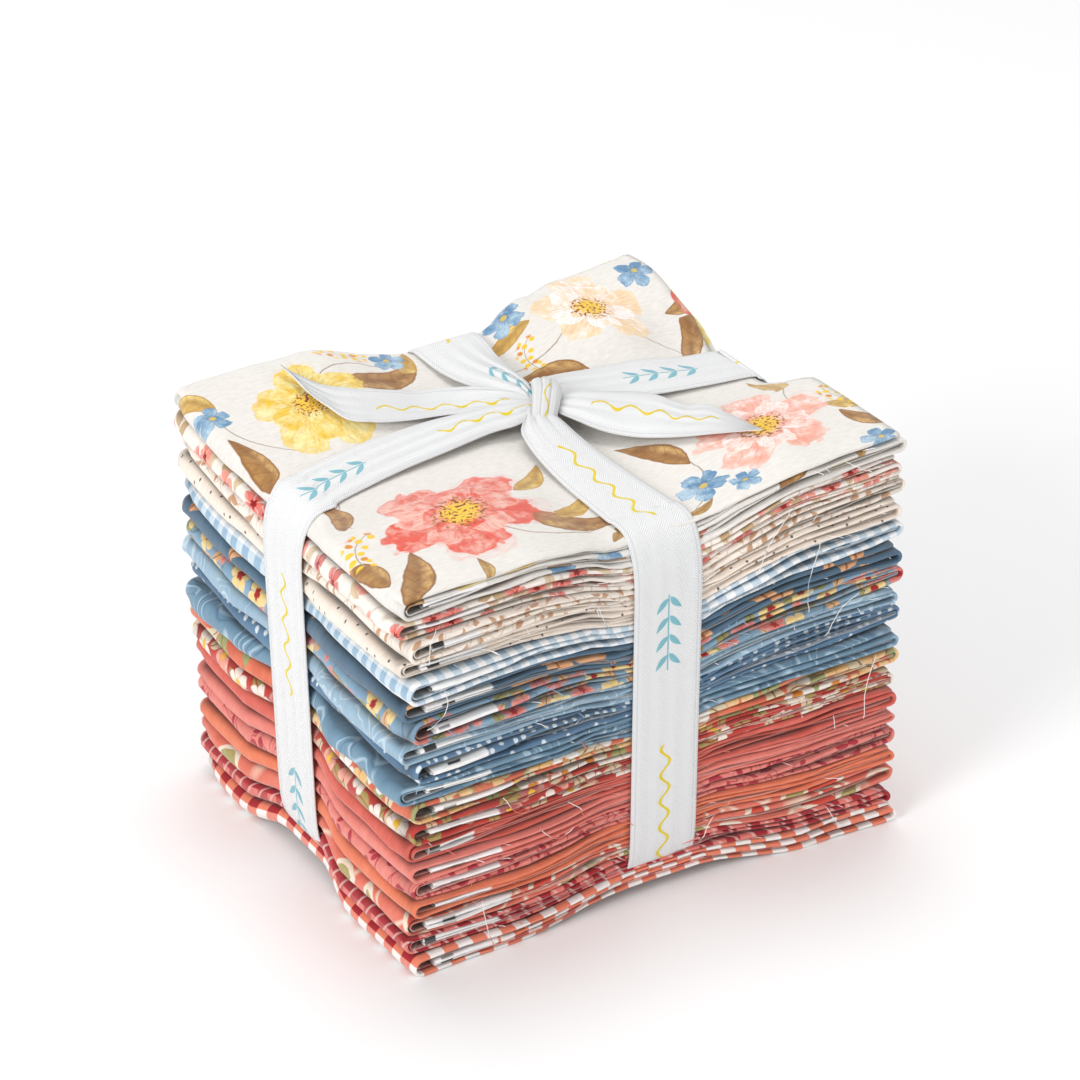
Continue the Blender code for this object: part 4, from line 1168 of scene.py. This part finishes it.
def loose_yarn(cotton):
    """Blue, red or white yarn, by the height it hangs at."""
    place = cotton.new("ShaderNodeTexCoord", {})[3]
    height = cotton.new("ShaderNodeSeparateXYZ", {0: place})[2]
    tone = cotton.mottle(cotton.scaled(place, 1000.0), 7.0, detail=0.0)
    cotton.colour = (0.84, 0.80, 0.74)
    cotton.ink((0.38, 0.52, 0.66), cotton.within(height, BLUE_TOP, 0.004))
    cotton.ink((0.80, 0.24, 0.18), cotton.within(height, CORAL_TOP, 0.004))
    cotton.ink((0.90, 0.88, 0.86), tone.ramp(12.0, -5.4))
    cotton.join(cotton.shader.inputs["Base Color"], cotton.colour)
    cotton.join(cotton.shader.inputs["Roughness"], 0.85)
    return cotton.material


def yarn_tree(material):
    """Geometry Nodes that spin each path into a thin round yarn with a little unevenness."""
    tree = bpy.data.node_groups.new("spin_yarn", "GeometryNodeTree")
    tree.interface.new_socket("Geometry", in_out="INPUT", socket_type="NodeSocketGeometry")
    radius = tree.interface.new_socket("Yarn radius", in_out="INPUT", socket_type="NodeSocketFloat")
    kink = tree.interface.new_socket("Kink", in_out="INPUT", socket_type="NodeSocketFloat")
    seed = tree.interface.new_socket("Seed", in_out="INPUT", socket_type="NodeSocketFloat")
    tree.interface.new_socket("Geometry", in_out="OUTPUT", socket_type="NodeSocketGeometry")
    node = {name: tree.nodes.new(kind) for name, kind in (
        ("given", "NodeGroupInput"), ("curve", "GeometryNodeMeshToCurve"), ("noise", "ShaderNodeTexNoise"),
        ("centred", "ShaderNodeVectorMath"), ("kinked", "ShaderNodeVectorMath"),
        ("moved", "GeometryNodeSetPosition"),
        ("round", "GeometryNodeCurvePrimitiveCircle"), ("tube", "GeometryNodeCurveToMesh"),
        ("real", "GeometryNodeRealizeInstances"), ("finish", "GeometryNodeSetMaterial"), ("out", "NodeGroupOutput"))}
    node["noise"].noise_dimensions = "4D"
    node["noise"].inputs["Scale"].default_value = 400.0
    node["centred"].operation = "SUBTRACT"
    node["centred"].inputs[1].default_value = (0.5, 0.5, 0.5)
    node["kinked"].operation = "SCALE"
    node["round"].inputs["Resolution"].default_value = 5
    node["tube"].inputs["Fill Caps"].default_value = True
    node["finish"].inputs["Material"].default_value = material
    for start, out, end, into in (
            ("given", "Geometry", "curve", "Mesh"), ("given", "Seed", "noise", "W"),
            ("noise", "Color", "centred", 0), ("centred", 0, "kinked", 0),
            ("given", "Kink", "kinked", "Scale"), ("curve", "Curve", "moved", "Geometry"),
            ("kinked", 0, "moved", "Offset"), ("given", "Yarn radius", "round", "Radius"),
            ("moved", "Geometry", "tube", "Curve"), ("round", "Curve", "tube", "Profile Curve"),
            ("tube", "Mesh", "real", "Geometry"), ("real", "Geometry", "finish", "Geometry"),
            ("finish", "Geometry", "out", "Geometry")):
        tree.links.new(node[start].outputs[out], node[end].inputs[into])
    return tree, {radius.identifier: YARN, kink.identifier: 0.0009, seed.identifier: 4.0}


paths = bpy.data.meshes.new("yarn_paths")
points, joins = [], []
for line in yarn_lines():
    joins += [(len(points) + k, len(points) + k + 1) for k in range(len(line) - 1)]
    points += line
paths.from_pydata(points, joins, [])
spun = in_scene("yarn_paths", paths)
tree, sizes = yarn_tree(loose_yarn(Cotton("loose_yarn_cotton")))
spinning = spun.modifiers.new("spin", "NODES")
spinning.node_group = tree
for identifier, value in sizes.items():
    spinning[identifier] = value
bpy.context.view_layer.update()
yarn_mesh = bpy.data.meshes.new_from_object(spun.evaluated_get(bpy.context.evaluated_depsgraph_get()))
yarn_mesh.name = "loose_yarn"
bpy.data.objects.remove(spun)
yarn = in_scene("loose_yarn", yarn_mesh)
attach(yarn, "root")


# The table, the studio light and the camera.
# A plain pale sweep, three large soft lights and an even sky, and a long lens from the front left.
floor_mesh = bpy.data.meshes.new("table")
floor_mesh.from_pydata([(-6, -6, 0), (6, -6, 0), (6, 6, 0), (-6, 6, 0)], [], [(0, 1, 2, 3)])
table_top = in_scene("table", floor_mesh)
pale = bpy.data.materials.new("pale_table")
pale.use_nodes = True
pale_surface = pale.node_tree.nodes["Principled BSDF"].inputs
pale_surface["Base Color"].default_value = (0.93, 0.93, 0.93, 1.0)
pale_surface["Roughness"].default_value = 0.9
floor_mesh.materials.append(pale)

sky = bpy.data.worlds.new("studio")
sky.use_nodes = True
sky_light = sky.node_tree.nodes["Background"].inputs
sky_light["Color"].default_value = (1.0, 1.0, 1.0, 1.0)
sky_light["Strength"].default_value = 0.62
bpy.context.scene.world = sky
bpy.context.scene.view_settings.view_transform = "Standard"

# The columns are: name, place in m, width in m, power in W.
SOFT_LIGHTS = (
    ("left_softbox", (-1.9, -0.5, 1.1), 1.0, 23.5),
    ("front_softbox", (0.7, -1.9, 0.8), 1.3, 6.0),
    ("top_softbox", (0.2, 0.5, 2.1), 1.2, 16.0),
)
for name, place, size, power in SOFT_LIGHTS:
    light = bpy.data.lights.new(name, "AREA")
    light.energy = power
    light.shape = "DISK"
    light.size = size
    lamp = in_scene(name, light)
    lamp.location = place
    lamp.rotation_euler = (Vector((0, 0, 0.07)) - Vector(place)).to_track_quat("-Z", "Y").to_euler()

CAMERA_TURN = math.radians(-31.5626)
CAMERA_RISE = math.radians(29.4397)
CAMERA_AWAY = 1.331
CAMERA_SIDE = (0.0020, 0.0860)
CAMERA_FOCUS = 3870.54
PHOTO_WIDTH = 1080
SENSOR = 36
across_view = Vector((math.cos(CAMERA_TURN), math.sin(CAMERA_TURN), 0))
level = Vector((math.sin(CAMERA_TURN), -math.cos(CAMERA_TURN), 0))
back = level * math.cos(CAMERA_RISE) + Vector((0, 0, math.sin(CAMERA_RISE)))
up_view = back.cross(across_view)
camera_data = bpy.data.cameras.new("camera")
camera_data.lens = CAMERA_FOCUS / PHOTO_WIDTH * SENSOR
camera_data.sensor_width = SENSOR
camera_data.sensor_fit = "HORIZONTAL"
camera_data.clip_start = 0.05
camera = in_scene("camera", camera_data)
camera.location = back * CAMERA_AWAY + across_view * CAMERA_SIDE[0] + up_view * CAMERA_SIDE[1]
camera.rotation_euler = back.to_track_quat("Z", "Y").to_euler()
bpy.context.scene.camera = camera
